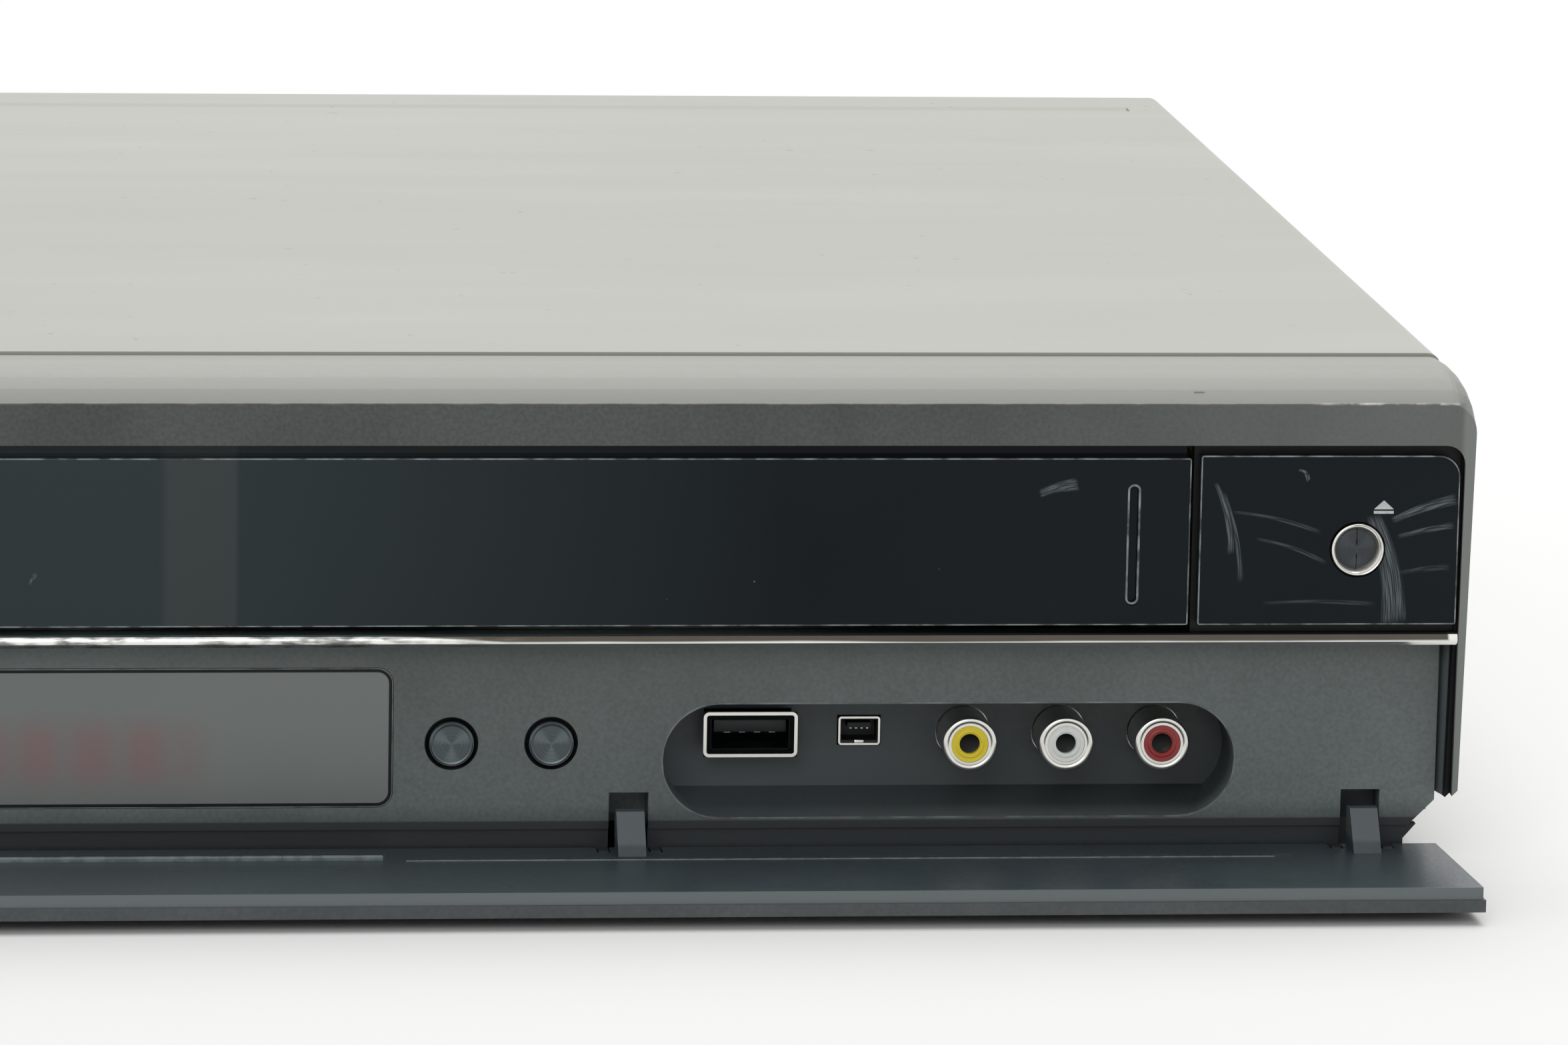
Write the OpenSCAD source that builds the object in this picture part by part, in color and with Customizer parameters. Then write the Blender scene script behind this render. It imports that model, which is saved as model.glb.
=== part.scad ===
// Disc player and cassette recorder in one low case, with the flap over its front controls open.
// X runs to the right, Y to the back and Z up, and the case stands on Z = 0.
// The modules are drawn with the front face at Y = 0, and at_face() moves them into the frame.

/* [Case] */
// Width of the front bezel
bezel_w = 430; // [426:1:450]
// How far the bezel stands out past the top cover on each side
bezel_overhang = 3.5; // [2.5:0.5:4.5]
// Depth from the front face to the back of the rear panel
case_d = 305; // [300:1:400]
// Height of the feet, up to the underside of the case
foot_h = 7.1; // [6.8:0.1:10]
// Thickness of the top cover's sheet
cover_t = 0.8; // [0.6:0.1:1]
// Radius of the top cover's bent edges
cover_r = 2.2; // [1.6:0.1:3]
// Thickness of the base, the rear panel and the deck plate
sheet_t = 1; // [0.8:0.1:1.2]
// Thickness of the moulded walls
wall = 2; // [1.7:0.1:2.2]
// Thickness of the bezel's thin cheeks
cheek_t = 1.6; // [1.4:0.1:1.8]
// Gap left between pieces that are only set beside each other
seat_gap = 0.3; // [0.2:0.05:0.4]

/* [Front] */
// Height of the control panel behind the flap
lower_h = 29.4; // [29:0.1:34]
// Height of the bright strip
chrome_h = 1.85; // [1.4:0.05:3]
// Height of the opening for the glossy fronts
gloss_h = 29.45; // [29.2:0.05:34]
// Height of the matt band above them
band_h = 6.5; // [5.5:0.1:12]
// Drop from the top cover to the bezel's front edge
brow_drop = 5.7; // [5:0.1:7]
// Depth of the bezel's curved brow
brow_d = 12.8; // [11.5:0.1:16]
// Radius of the brow's curve
brow_r = 25; // [20:1:60]
// Radius of the bezel's upper front corners
corner_r = 4.6; // [3.5:0.1:6]
// How much narrower each side of the bezel is at its foot
side_draft = 1.1; // [0.5:0.1:1.4]
// Size of the bevelled lower corners of the bezel
foot_bevel = 6.5; // [4:0.5:8]
// Thickness of the glossy fronts
front_t = 2.5; // [2.2:0.1:2.8]
// How far the cassette door reaches past a cassette on each side
door_margin = 6.05; // [5.8:0.05:8]
// How far the tray's front reaches past the tray on each side
tray_front_margin = 5.85; // [4.5:0.05:8]
// Gap between the cassette door and the tray's front
middle_gap = 2; // [1.8:0.1:2.4]
// Gap between a glossy end block and its neighbour
block_gap = 1.6; // [1.4:0.1:2.4]
// Distance from the front face to the control panel
panel_y = 5; // [4.8:0.1:6]
// Distance from the display window to the jack recess
window_gap = 41.7; // [41:0.1:46]
// Height of the display window
window_h = 21.3; // [18:0.1:22]

/* [Flap] */
// Thickness of the flap's outer skin
skin_t = 1.9; // [1.6:0.1:2.1]
// Thickness of the flap's inner plate
plate_t = 1.9; // [1.6:0.1:2]
// Angle through which the flap opens
flap_angle = 88; // [80:1:88]
// Height of the flap's hinge line
pivot_z = 3; // [3:0.1:3.6]
// Distance from the flap's outer face to its hinge line
pivot_y = 2.5; // [2.3:0.05:2.6]
// Distance from an outer hinge arm to the side of the opening
arm_inset = 13.85; // [13.2:0.05:15]
// Distance from an inner hinge arm to the jack recess
arm_gap = 5.15; // [5:0.05:7]
// Width of a hinge arm
arm_w = 4.3; // [3.5:0.1:4.6]
// Width of the slot that an arm swings in
slot_w = 6.1; // [5.8:0.1:6.6]
// Reach of an arm from the hinge line
arm_r = 7.6; // [6.5:0.1:8]
// Radius of the hinge pins
pin_r = 0.8; // [0.6:0.05:0.9]

/* [Buttons and jacks] */
// Radius of the small round buttons
button_r = 3.4; // [3:0.1:3.6]
// Radius of the holes that they stand in
button_hole_r = 4; // [3.9:0.1:4.2]
// Travel of every button
button_travel = 0.6; // [0.4:0.05:0.7]
// Distance between neighbouring small buttons
button_pitch = 15.3; // [13:0.1:16]
// Radius of the eject and power buttons
ring_r = 4; // [3.5:0.1:5]
// Distance from the jack recess to the side of the opening
recess_inset = 33.8; // [30:0.1:34.5]
// Width of the jack recess
recess_w = 88.7; // [86:0.1:92]
// Height of the jack recess
recess_h = 17.8; // [16:0.1:18.5]
// Depth of the jack recess
recess_d = 12; // [10:0.5:13]
// Distance between neighbouring phono jacks
phono_pitch = 15; // [13:0.1:15.5]
// Outer radius of a phono jack's shell
phono_r = 4.15; // [4:0.05:4.2]
// Radius of a phono jack's centre hole
phono_hole_r = 1.6; // [1.5:0.05:1.8]

/* [Disc drive] */
// Diameter of the well for the disc
well_d = 121; // [120.4:0.1:122]
// Width of the tray's rim beside the well
tray_rim = 3.5; // [3:0.05:4]
// Length of the disc tray
tray_l = 187; // [183:1:190]
// Teeth on the gear that drives the tray
gear_teeth = 20; // [18:1:21]
// Angle by which the spindle's frame is lowered
lift_angle = 5; // [4.8:0.1:5.4]

/* [Cassette deck] */
// Width of a cassette
cassette_w = 188; // [187:0.5:188.5]
// Thickness of a cassette
cassette_h = 25.3; // [25:0.1:25.5]
// Travel of the cassette basket to the back
basket_in = 60; // [50:1:61]
// Travel of the cassette basket down onto the reels
basket_drop = 12; // [9:0.5:12]
// Radius of the head drum
drum_r = 31; // [29:0.5:32]
// Lean of the head drum
drum_lean = 6; // [4:0.5:7]

/* [Hidden] */
$fn = 48;

eps = 0.01;
big = 1000;
run_fit = 0.05;  // radial play of a shaft in its bearing

// Heights of the front, from the underside of the case up
base_z = foot_h;
lower_z1 = base_z + lower_h;
chrome_z1 = lower_z1 + chrome_h;
gloss_z1 = chrome_z1 + gloss_h;
edge_z = gloss_z1 + band_h;
case_h = edge_z + brow_drop;
floor_z = base_z + sheet_t;
roof_z = case_h - cover_t;

// Half widths
bezel_x = bezel_w / 2;
opening_x = bezel_x - cheek_t;
cover_x = bezel_x - bezel_overhang;
inside_x = cover_x - cover_t;

// Row of glossy fronts
end_gap = 0.8;
door_w = cassette_w + 2 * door_margin;
tray_w = well_d + 2 * tray_rim;
tray_front_w = tray_w + 2 * tray_front_margin;
fronts_w = door_w + tray_front_w + middle_gap;
block_w = opening_x - end_gap - block_gap - fronts_w / 2;
door_x1 = opening_x - end_gap - block_w - block_gap;
door_x0 = door_x1 - door_w;
tray_x1 = door_x0 - middle_gap;
tray_x0 = tray_x1 - tray_front_w;
block_x0 = door_x1 + block_gap;
block_x1 = opening_x - end_gap;
fronts_z0 = chrome_z1 + 1.55;
fronts_z1 = gloss_z1 - 2;
blocks_z1 = gloss_z1 - 1.6;
deck_x = (door_x0 + door_x1) / 2;
tray_x = (tray_x0 + tray_x1) / 2;

// Brow of the bezel: an arc through its front edge and its rear edge
brow_z1 = case_h - 0.5;
brow_chord = [brow_d, brow_z1 - edge_z];
brow_sag = sqrt(brow_r * brow_r - brow_chord * brow_chord / 4);
brow_c = [brow_d / 2, (edge_z + brow_z1) / 2]
    + brow_sag * [brow_chord[1], -brow_chord[0]] / norm(brow_chord);
rim_d = brow_d + 8;

// Door hinge
door_pivot = [4, gloss_z1 + 2.1];
door_pin_r = 1;
door_lug_t = 1.6;
lip_t = 0.8;

// Control panel and what stands behind it
panel_back = panel_y + wall;
shelf_y1 = 20;
shelf_t = 1.5;
board_y = panel_y + 17;
board_t = 1.6;
switch_t = 3.5;
plunger_y = board_y - switch_t - 1.2;
button_z = base_z + 13.5;
recess_x = opening_x - recess_inset - recess_w;
window_x = recess_x - window_gap;
window_z = base_z + 14.45;
button_xs = [window_x + 9.2, window_x + 9.2 + button_pitch];
recess_z = base_z + 1.7;
recess_mid = recess_z + recess_h / 2;
recess_back = panel_y + recess_d;
recess_rise = 2.5;
recess_wall = 1.2;
phono_z = base_z + 12.4;
phono_face = recess_back - 9;
phono_xs = [for (i = [0:2]) recess_x + 47.9 + i * phono_pitch];
phono_core_r = 2.9;
usb_x = recess_x + 14.2;
usb_z = base_z + 13.2;
dv_x = recess_x + 31.6;
dv_z = base_z + 12.8;
arm_xs = [recess_x - arm_gap, opening_x - arm_inset];
slot_z1 = base_z + 5.7;
slot_reach = pivot_y + arm_r + 0.4;
lug_t = 1.5;
lug_x = slot_w / 2 + 0.95;
lug_r = pin_r + 0.7;
skirt_x = opening_x - foot_bevel - 0.3;
skirt_z = base_z - 3.5;
boss_r = 2.5;
buttons_mid = (button_xs[0] + button_xs[1]) / 2;
front_board_x0 = 47.4 - opening_x;
front_board_x1 = opening_x - 22.4;
board_bosses = [[front_board_x0 + 6, base_z + 13], [-buttons_mid, base_z + 24.4],
    [buttons_mid, base_z + 24.4], [front_board_x1 - 5, base_z + 13]];
tube_x = window_x - 9.2;

// Flap, drawn closed and turned open about its hinge line
flap_t = skin_t + plate_t;
flap_x = opening_x - 0.5;
flap_taper = 0.9;
flap_z1 = lower_z1 - seat_gap;
flap_round = 2.5;

// Eject and power buttons
ring_z = base_z + 44.5;
ring_x = block_x1 - 0.389 * block_w;
dish_y = 2.2;
backing_t = 1.6;
backing_y1 = front_t + backing_t;
small_board_y = 12;

// Disc drive
tray_y1 = front_t + tray_l;
tray_z = fronts_z0 + 9.6;
tray_t = 4.5;
well_y = 80;
well_z = tray_z + 2.2;
lip_w = 2;
lip_z = tray_z + 1;
tooth = PI;
rack_lead = 6;  // how far the rack starts in front of the gear's centre
gear_r = gear_teeth / 2;
rack_x = tray_x - tray_w / 2 + 8;
gear_x = rack_x + gear_r;
gear_y = 36;
gear_h = 4.5;
gear_z = tray_z - gear_h - 0.7;
drive_x = tray_w / 2 + lip_w + 4;
drive_y0 = 26;
drive_y1 = tray_y1 + 8.5;
drive_z0 = floor_z + 14;
drive_z1 = tray_z + 10.5;
lift_y = 175;
lift_z = tray_z - 11.5;
spindle_z = tray_z + tray_t;
rail_x = 24;
rail_r = 1.5;
rail_z = lift_z + 4;
bridge_t = sheet_t;
puck_z = tray_z + tray_t + 1.5;

// Cassette deck
plate_z1 = floor_z + 10.1;
deck_t = 1.2;
deck_y0 = 30;
deck_y1 = 216;
basket_y0 = 26;
basket_y1 = 74;
basket_wall_y0 = 36;
basket_z = fronts_z0 + 0.1;
basket_x = cassette_w / 2 + 0.3;
basket_t = 1;
basket_z1 = basket_z + cassette_h + 0.3;
slider_x = basket_x + basket_t + 0.6;
slider_t = 1.2;
bracket_x = slider_x + slider_t + 0.6;
deck_half = bracket_x + 3.3;
guide_r = 1.5;
guide_fit = 0.15;
guide_z = basket_z + 20;
guide_ys = [44, 66];
hang_z = basket_z + 8;
hang_ys = [50, 60];
slider_z1 = basket_z1 + 3.9;
bracket_z1 = slider_z1 + 1.8;
reel_x = 46;
reel_y = basket_y0 + 46;
reel_z1 = basket_z - 2.5;
drum_y = 178;
drum_z = plate_z1 + 4.8;
capstan_at = [52, 146];
pinch_pivot = [74, 156];
pinch_at = [64.5, 136.25];

// Rear
back_y = case_d - sheet_t;
board_z = floor_z + 8;
rear_board_y1 = back_y - 7;
rear_board_y0 = deck_y1 + 3;
rear_board_y = (rear_board_y0 + rear_board_y1) / 2;
power_x1 = inside_x - 10.7;
power_x0 = power_x1 - 124;
main_x0 = -power_x1;
main_x1 = power_x0 - 16;
plug_reach = 8.5;
rear_phono_xs = [for (i = [0:5]) main_x0 + 70 + 14 * i];
rear_phono_zs = [board_z + 12, board_z + 30];
tuner_x = main_x0 + 28;
tuner_d = 40;
fan_x = power_x0 - 30;
fan_w = 40;
fan_z = board_z + 28;
fan_d = 10;
inlet_x = power_x1 - 30;
inlet_z = board_z + 14;
side_screw_ys = [60, case_d - 45];
side_screw_z = base_z + 8;
rear_screw_xs = [61.5 - cover_x, 0, cover_x - 61.5];
rear_screw_z = case_h - 5;
foot_xs = [41.5 - cover_x, cover_x - 41.5];
foot_ys = [46, case_d - 36];

// The front face's place, so that the open unit is centred on the origin
flap_front = pivot_y - pivot_y * cos(flap_angle) - (flap_z1 - pivot_z) * sin(flap_angle);
face_y = -(flap_front + case_d + plug_reach) / 2;

module at_face() {
    translate([0, face_y, 0]) children();
}

// Box between two opposite corners
module block(a, b) {
    translate(a) cube(b - a);
}

// Sweeps a profile drawn in (depth, height) from one X to another
module across(x0, x1) {
    translate([x0, 0, 0]) rotate([90, 0, 90]) linear_extrude(x1 - x0) children();
}

// Sweeps a profile drawn in (X, height) from one depth to another
module along(y0, y1) {
    translate([0, y1, 0]) rotate([90, 0, 0]) linear_extrude(y1 - y0) children();
}

// Cylinder along Y, from one depth to another
module rod(x, z, r, y0, y1) {
    translate([x, y1, z]) rotate([90, 0, 0]) cylinder(r = r, h = y1 - y0);
}

// Cylinder along X, from one X to another
module axle(y, z, r, x0, x1) {
    translate([x0, y, z]) rotate([0, 90, 0]) cylinder(r = r, h = x1 - x0);
}

function arc(c, r, a0, a1, n) =
    [for (i = [0:n]) c + r * [cos(a0 + (a1 - a0) * i / n), sin(a0 + (a1 - a0) * i / n)]];

function rounded(a, b, r, n = 6) = concat(
    arc([b[0] - r, b[1] - r], r, 0, 90, n),
    arc([a[0] + r, b[1] - r], r, 90, 180, n),
    arc([a[0] + r, a[1] + r], r, 180, 270, n),
    arc([b[0] - r, a[1] + r], r, 270, 360, n));

// Arch with rounded upper corners, from z0 to z1
function arch(x, z0, z1, r) = concat(
    [[-x, z0], [x, z0]], arc([x - r, z1 - r], r, 0, 90, 8), arc([r - x, z1 - r], r, 90, 180, 8));

// Upright slots, side by side
module slots(x0, pitch, count, z0, z1, w) {
    for (i = [0:count - 1])
        polygon(rounded([x0 + i * pitch, z0], [x0 + i * pitch + w, z1], w / 2 - eps, 4));
}

// ---- Case ----

module top_cover() {
    color("darkgray") at_face() difference() {
        along(brow_d + 0.4, case_d + 0.1 + cover_t)
            polygon(arch(cover_x, base_z + 0.6, case_h, cover_r));
        along(0, case_d + 0.1)
            polygon(arch(inside_x, 0, roof_z, cover_r - cover_t));
        // the rear lip is short, so that the rear panel shows
        block([-big, case_d - 1, 0], [big, big, case_h - 9]);
        // straight stamped bead along the rear edge
        axle(case_d - 15.2, case_h + 7.1, 7.55, 8.5 - cover_x, cover_x - 8.5);
        // vents in the sides
        for (i = [0:13])
            block([-big, case_d - 130 + 8 * i, base_z + 24], [big, case_d - 127 + 8 * i, base_z + 42]);
        for (y = side_screw_ys)
            axle(y, side_screw_z, 1.6, -big, big);
        for (x = rear_screw_xs)
            rod(x, rear_screw_z, 1.6, case_d - 2, case_d + 5);
    }
}

module base_chassis() {
    flange_x = inside_x - seat_gap;
    color("silver") at_face() difference() {
        union() {
            block([-flange_x, shelf_y1 + seat_gap, base_z], [flange_x, back_y - seat_gap, floor_z]);
            for (s = [-1, 1])
                block([min(s * flange_x, s * (flange_x - sheet_t)), rim_d + 2, base_z],
                    [max(s * flange_x, s * (flange_x - sheet_t)), back_y - seat_gap, base_z + 16]);
            // pads under the circuit boards
            for (x = [main_x0 + 8, main_x0 + 140, main_x1 - 8, power_x0 + 8, power_x1 - 8],
                y = [rear_board_y0 + 8, rear_board_y1 - 12])
                translate([x, y, floor_z - eps]) cylinder(r = 3.5, h = board_z - floor_z + eps);
            // stiffening ribs pressed up from the floor
            for (x = [main_x0 + 25, main_x0 + 110, main_x1 - 40, power_x0 - 6, power_x0 + 74])
                block([x, rear_board_y0 + 22, floor_z - eps], [x + 6, rear_board_y1 - 24, floor_z + 1.2]);
        }
        // vents in the floor
        for (x = [main_x0 + 50, main_x0 + 170, power_x0 + 24], y = [deck_y1 - 11:12:back_y - 30])
            block([x, y, 0], [x + 40, y + 4, floor_z + 2]);
        for (s = [-1, 1], y = side_screw_ys)
            axle(y, side_screw_z, 1.3, s * flange_x - 2, s * flange_x + 2);
    }
}

module feet() {
    color("dimgray") at_face()
        for (x = foot_xs, y = foot_ys) translate([x, y, 0]) {
            cylinder(r1 = 13, r2 = 14, h = 2);
            translate([0, 0, 2]) cylinder(r = 15, h = foot_h - 2);
        }
}

module cover_screws() {
    color("dimgray") at_face() {
        for (s = [-1, 1], y = side_screw_ys) {
            shank_x = inside_x - 5;
            axle(y, side_screw_z, 1.2, min(s * shank_x, s * cover_x), max(s * shank_x, s * cover_x));
            axle(y, side_screw_z, 3, min(s * cover_x, s * (cover_x + 1.4)),
                max(s * cover_x, s * (cover_x + 1.4)));
        }
        for (x = rear_screw_xs) {
            rod(x, rear_screw_z, 1.2, case_d - 5, case_d + 0.2);
            rod(x, rear_screw_z, 3, case_d + 0.1 + cover_t, case_d + 1.5 + cover_t);
            rod(x, rear_screw_z, 1.2, case_d, case_d + 0.2 + cover_t);
        }
    }
}

module rear_panel() {
    rear_x = inside_x - seat_gap;
    color("silver") at_face() difference() {
        union() {
            along(back_y, case_d)
                polygon(arch(rear_x, base_z + 0.2, roof_z - seat_gap, cover_r - cover_t));
            block([-rear_x + 6, back_y - 8, roof_z - seat_gap - sheet_t], [rear_x - 6, case_d, roof_z - seat_gap]);
        }
        along(back_y - 1, case_d + 1) {
            slots(86, 6, 10, board_z + 26, board_z + 50, 3);
            slots(-30, 6, 8, board_z + 26, board_z + 50, 3);
        }
        // fan grille
        intersection() {
            rod(fan_x, fan_z, 17.5, back_y - 1, case_d + 1);
            along(back_y - 2, case_d + 2) translate([fan_x, fan_z])
                for (i = [-3:3]) translate([i * 5 - 1.6, -20]) square([3.2, 40]);
        }
        for (x = rear_phono_xs, z = rear_phono_zs)
            rod(x, z, phono_r + 0.25, back_y - 1, case_d + 1);
        for (z = [tuner_top() - 7, tuner_top() - 21])
            rod(tuner_x, z, 5.2, back_y - 1, case_d + 1);
        block([inlet_x - 11.3, back_y - 1, inlet_z - 7.3], [inlet_x + 11.3, case_d + 1, inlet_z + 7.3]);
        for (x = rear_screw_xs)
            rod(x, rear_screw_z, 1.3, back_y - 1, case_d + 1);
    }
}

// ---- Bezel and what is fixed in it ----

function brow_z(y) = brow_c[1] + sqrt(brow_r * brow_r - (y - brow_c[0]) * (y - brow_c[0]));
function bezel_half(y) = bezel_x - (bezel_overhang - 0.2) * pow(y / brow_d, 2);

// Half width of the opening, which narrows a little towards the foot
function opening_at(z) = opening_x - side_draft * 0.35
    * min(1, (gloss_z1 - z) / (gloss_z1 - base_z - foot_bevel));

// Outline of the bezel at one depth, set in by dx at the sides and dz at the top
function bezel_outline(y, dx, dz, z0) =
    let (x = bezel_half(y) - dx, z = brow_z(y) - dz,
        r = corner_r + (cover_r - corner_r) * y / brow_d - min(dx, dz) * 0.8,
        right = concat(
            [[x - side_draft - foot_bevel, z0], [x - side_draft, z0 + foot_bevel]],
            arc([x - r, z - r], r, 0, 90, 8)))
    concat(right, [for (i = [len(right) - 1:-1:0]) [-right[i][0], right[i][1]]]);

// Solid form of the bezel between two depths
module bezel_form(y0, y1, dx, dz, z0) {
    hull()
        for (i = [0:5]) {
            y = y0 + (y1 - y0) * i / 5;
            along(y, y + eps) polygon(bezel_outline(y, dx, dz, z0));
        }
}

module front_bezel() {
    rim_x = inside_x - seat_gap;
    rim_z1 = roof_z - seat_gap;
    color("dimgray") at_face() {
        difference() {
            union() {
                difference() {
                    bezel_form(0, brow_d - eps, 0, 0, base_z);
                    bezel_form(wall, panel_back, cheek_t, wall, base_z - 8);
                    bezel_form(panel_back - eps, brow_d - wall, cheek_t, wall, base_z - 1.6);
                    block([wall - rim_x, brow_d - 2 * wall, base_z + 8], [rim_x - wall, big, rim_z1 - wall]);
                    block([wall - rim_x, panel_back, -1], [rim_x - wall, big, edge_z - wall]);
                    along(-1, wall + eps) polygon(concat(
                        [[-opening_at(0), -1], [opening_at(0), -1], [opening_at(0), base_z + foot_bevel]],
                        arc([opening_x - 3, gloss_z1 - 3], 3, 0, 90, 6),
                        arc([3 - opening_x, gloss_z1 - 3], 3, 90, 180, 6),
                        [[-opening_at(0), base_z + foot_bevel]]));
                }
                // rim that slides under the top cover
                difference() {
                    along(brow_d - wall, rim_d)
                        polygon(arch(rim_x, base_z + 8, rim_z1, cover_r - cover_t));
                    block([wall - rim_x, 0, 0], [rim_x - wall, big, rim_z1 - wall]);
                }
                // rail behind the bright strip
                block([-opening_x - 0.2, 1.2, lower_z1], [opening_x + 0.2, panel_y, chrome_z1]);
                for (s = [-1, 1]) {
                    // backing of the two end blocks
                    inner = block_x0 - 0.8;
                    outer = opening_x + 0.2;
                    block([min(s * inner, s * outer), front_t, lower_z1],
                        [max(s * inner, s * outer), backing_y1, brow_z(front_t) - wall / 2]);
                    for (dx = [-8, 7])
                        rod(s * (ring_x + dx), ring_z - 7, boss_r, backing_y1 - eps, small_board_y);
                }
                // lugs for the cassette door's pins
                for (x = [door_x0 - middle_gap, door_x1 + 0.4])
                    block([x, wall - eps, gloss_z1], [x + door_lug_t, door_pivot[0] + 3, brow_z(4) - wall / 2]);
            }
            for (x = [door_x0 - middle_gap, door_x1 + 0.4])
                axle(door_pivot[0], door_pivot[1], door_pin_r + run_fit, x - 1, x + door_lug_t + 1);
            for (s = [-1, 1])
                rod(s * ring_x, ring_z, ring_r - 0.25, front_t - 1, backing_y1 + 1);
        }
    }
}

module chrome_trim() {
    color("gainsboro") at_face() across(0.1 - opening_at(lower_z1), opening_at(lower_z1) - 0.1)
        polygon(concat([[1.2, lower_z1 + 0.1], [1.2, chrome_z1 - 0.1]],
            [for (i = [0:6]) let (t = i / 6)
                [0.35 - 0.35 * sin(180 * t), chrome_z1 - 0.1 - (chrome_h - 0.2) * t]]));
}

// Glossy block on the right, mirrored for the left
module end_block() {
    difference() {
        along(0, front_t) polygon(concat(
            [[block_x0, fronts_z0], [block_x1, fronts_z0]],
            arc([block_x1 - 3.3, blocks_z1 - 3.3], 3.3, 0, 90, 6),
            [[block_x0, blocks_z1]]));
        rod(ring_x, ring_z, ring_r + 0.35, -1, front_t + 1);
    }
}

module eject_block() {
    color("black") at_face() end_block();
}

module power_block() {
    color("black") at_face() mirror([1, 0, 0]) end_block();
}

// Round push button of an end block, with its collar behind the backing
module ring_button() {
    difference() {
        union() {
            rod(ring_x, ring_z, ring_r, -0.3, front_t - 0.8);
            rod(ring_x, ring_z, ring_r - 0.45, front_t - 0.9, backing_y1 + 0.4);
        }
        // deep dish with sloping sides
        translate([ring_x, dish_y, ring_z]) rotate([90, 0, 0])
            cylinder(r1 = ring_r - 0.85, r2 = ring_r - 0.3, h = dish_y + 0.3 + eps);
    }
    rod(ring_x, ring_z, ring_r + 0.4, backing_y1 + seat_gap, backing_y1 + 1.3);
    rod(ring_x, ring_z, 1.5, backing_y1 + 1.2, small_board_y - switch_t - 2);
}

module eject_button() {
    color("dimgray") at_face() ring_button();
}

module power_button() {
    color("dimgray") at_face() mirror([1, 0, 0]) ring_button();
}

function panel_outline() =
    let (x = bezel_half(panel_back) - cheek_t - side_draft - 0.1, z1 = lower_z1 - 0.1, c = foot_bevel - 2.5)
    [[x - c, base_z], [x, base_z + c], [x, z1], [-x, z1], [-x, base_z + c], [c - x, base_z]];

// Jack recess, grown by g
module recess_outline(g) {
    polygon(rounded([recess_x - g, recess_z - g], [recess_x + recess_w + g, recess_z + recess_h + g],
        recess_h / 2 + g - eps, 12));
}

module control_panel() {
    arms = [-arm_xs[1], -arm_xs[0], arm_xs[0], arm_xs[1]];
    color("dimgray") at_face() {
        difference() {
            union() {
                along(panel_y, panel_back) polygon(panel_outline());
                block([foot_bevel + 2 - opening_x, panel_y + 1, base_z],
                    [opening_x - foot_bevel - 2, shelf_y1, base_z + shelf_t]);
                along(panel_y + 1, recess_back + 1.5) recess_outline(recess_wall);
                for (x = arms)
                    block([x - slot_w / 2 - 1.2, panel_y + 1, base_z],
                        [x + slot_w / 2 + 1.2, slot_reach + 1.2, slot_z1 + 1.2]);
                // skirt behind the flap's hinge
                along(panel_y + 0.8, panel_back + 0.6)
                    polygon([[-skirt_x, skirt_z], [skirt_x, skirt_z], [skirt_x, skirt_z + 1.2],
                        [skirt_x + 2, base_z + eps], [-skirt_x - 2, base_z + eps], [-skirt_x, skirt_z + 1.2]]);
                for (b = board_bosses)
                    rod(b[0], b[1], boss_r, panel_back - eps, board_y);
            }
            // display window and small buttons
            along(panel_y - 1, panel_back + 1)
                polygon(rounded([-window_x - 0.3, window_z - window_h / 2 - 0.3],
                    [window_x + 0.3, window_z + window_h / 2 + 0.3], 2.5));
            for (x = button_xs, s = [-1, 1])
                rod(s * x, button_z, button_hole_r, panel_y - 1, panel_back + 1);
            for (i = [2:3])
                rod(-button_xs[0] - i * button_pitch, button_z, button_hole_r, panel_y - 1, panel_back + 1);
            // jack recess, whose floor rises to the back
            difference() {
                along(panel_y - 1, recess_back) recess_outline(0);
                across(recess_x - 1, recess_x + recess_w + 1)
                    polygon([[panel_y, recess_z - 1], [panel_y, recess_z], [recess_back + 1, recess_z + recess_rise],
                        [recess_back + 1, recess_z - 1]]);
            }
            for (x = phono_xs)
                rod(x, phono_z, phono_r + 0.15, recess_back - 1, recess_back + 3);
            block([usb_x - 6.8, recess_back - 1, usb_z - 3.1], [usb_x + 6.8, recess_back + 3, usb_z + 3.1]);
            block([dv_x - 3.4, recess_back - 1, dv_z - 2.4], [dv_x + 3.4, recess_back + 3, dv_z + 2.4]);
            for (x = arms)
                block([x - slot_w / 2, panel_y - 1, -1], [x + slot_w / 2, slot_reach, slot_z1]);
        }
        // hinge lugs, one on each side of every arm
        for (x = arms, s = [-1, 1])
            across(x + s * lug_x - lug_t / 2, x + s * lug_x + lug_t / 2) difference() {
                union() {
                    translate([pivot_y, pivot_z]) circle(lug_r);
                    translate([pivot_y, pivot_z - 1]) square([panel_back + 0.6 - pivot_y, 2]);
                    translate([panel_y + 0.9, pivot_z - 1]) square([1.5, skirt_z - pivot_z + 2]);
                }
                translate([pivot_y, pivot_z]) circle(pin_r + 0.02);
            }
    }
}

module hinge_pins() {
    color("silver") at_face()
        for (x = arm_xs, s = [-1, 1])
            axle(pivot_y, pivot_z, pin_r, s * x - lug_x - lug_t / 2, s * x + lug_x + lug_t / 2);
}

module display_window() {
    color("black") at_face() {
        along(panel_y + 0.1, panel_back + 0.1)
            polygon(rounded([-window_x, window_z - window_h / 2], [window_x, window_z + window_h / 2], 2.2));
        block([-window_x - 2, panel_back, window_z - window_h / 2 - 1.3],
            [window_x + 2, panel_back + 1, window_z + window_h / 2 + 1.3]);
    }
}

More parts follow.
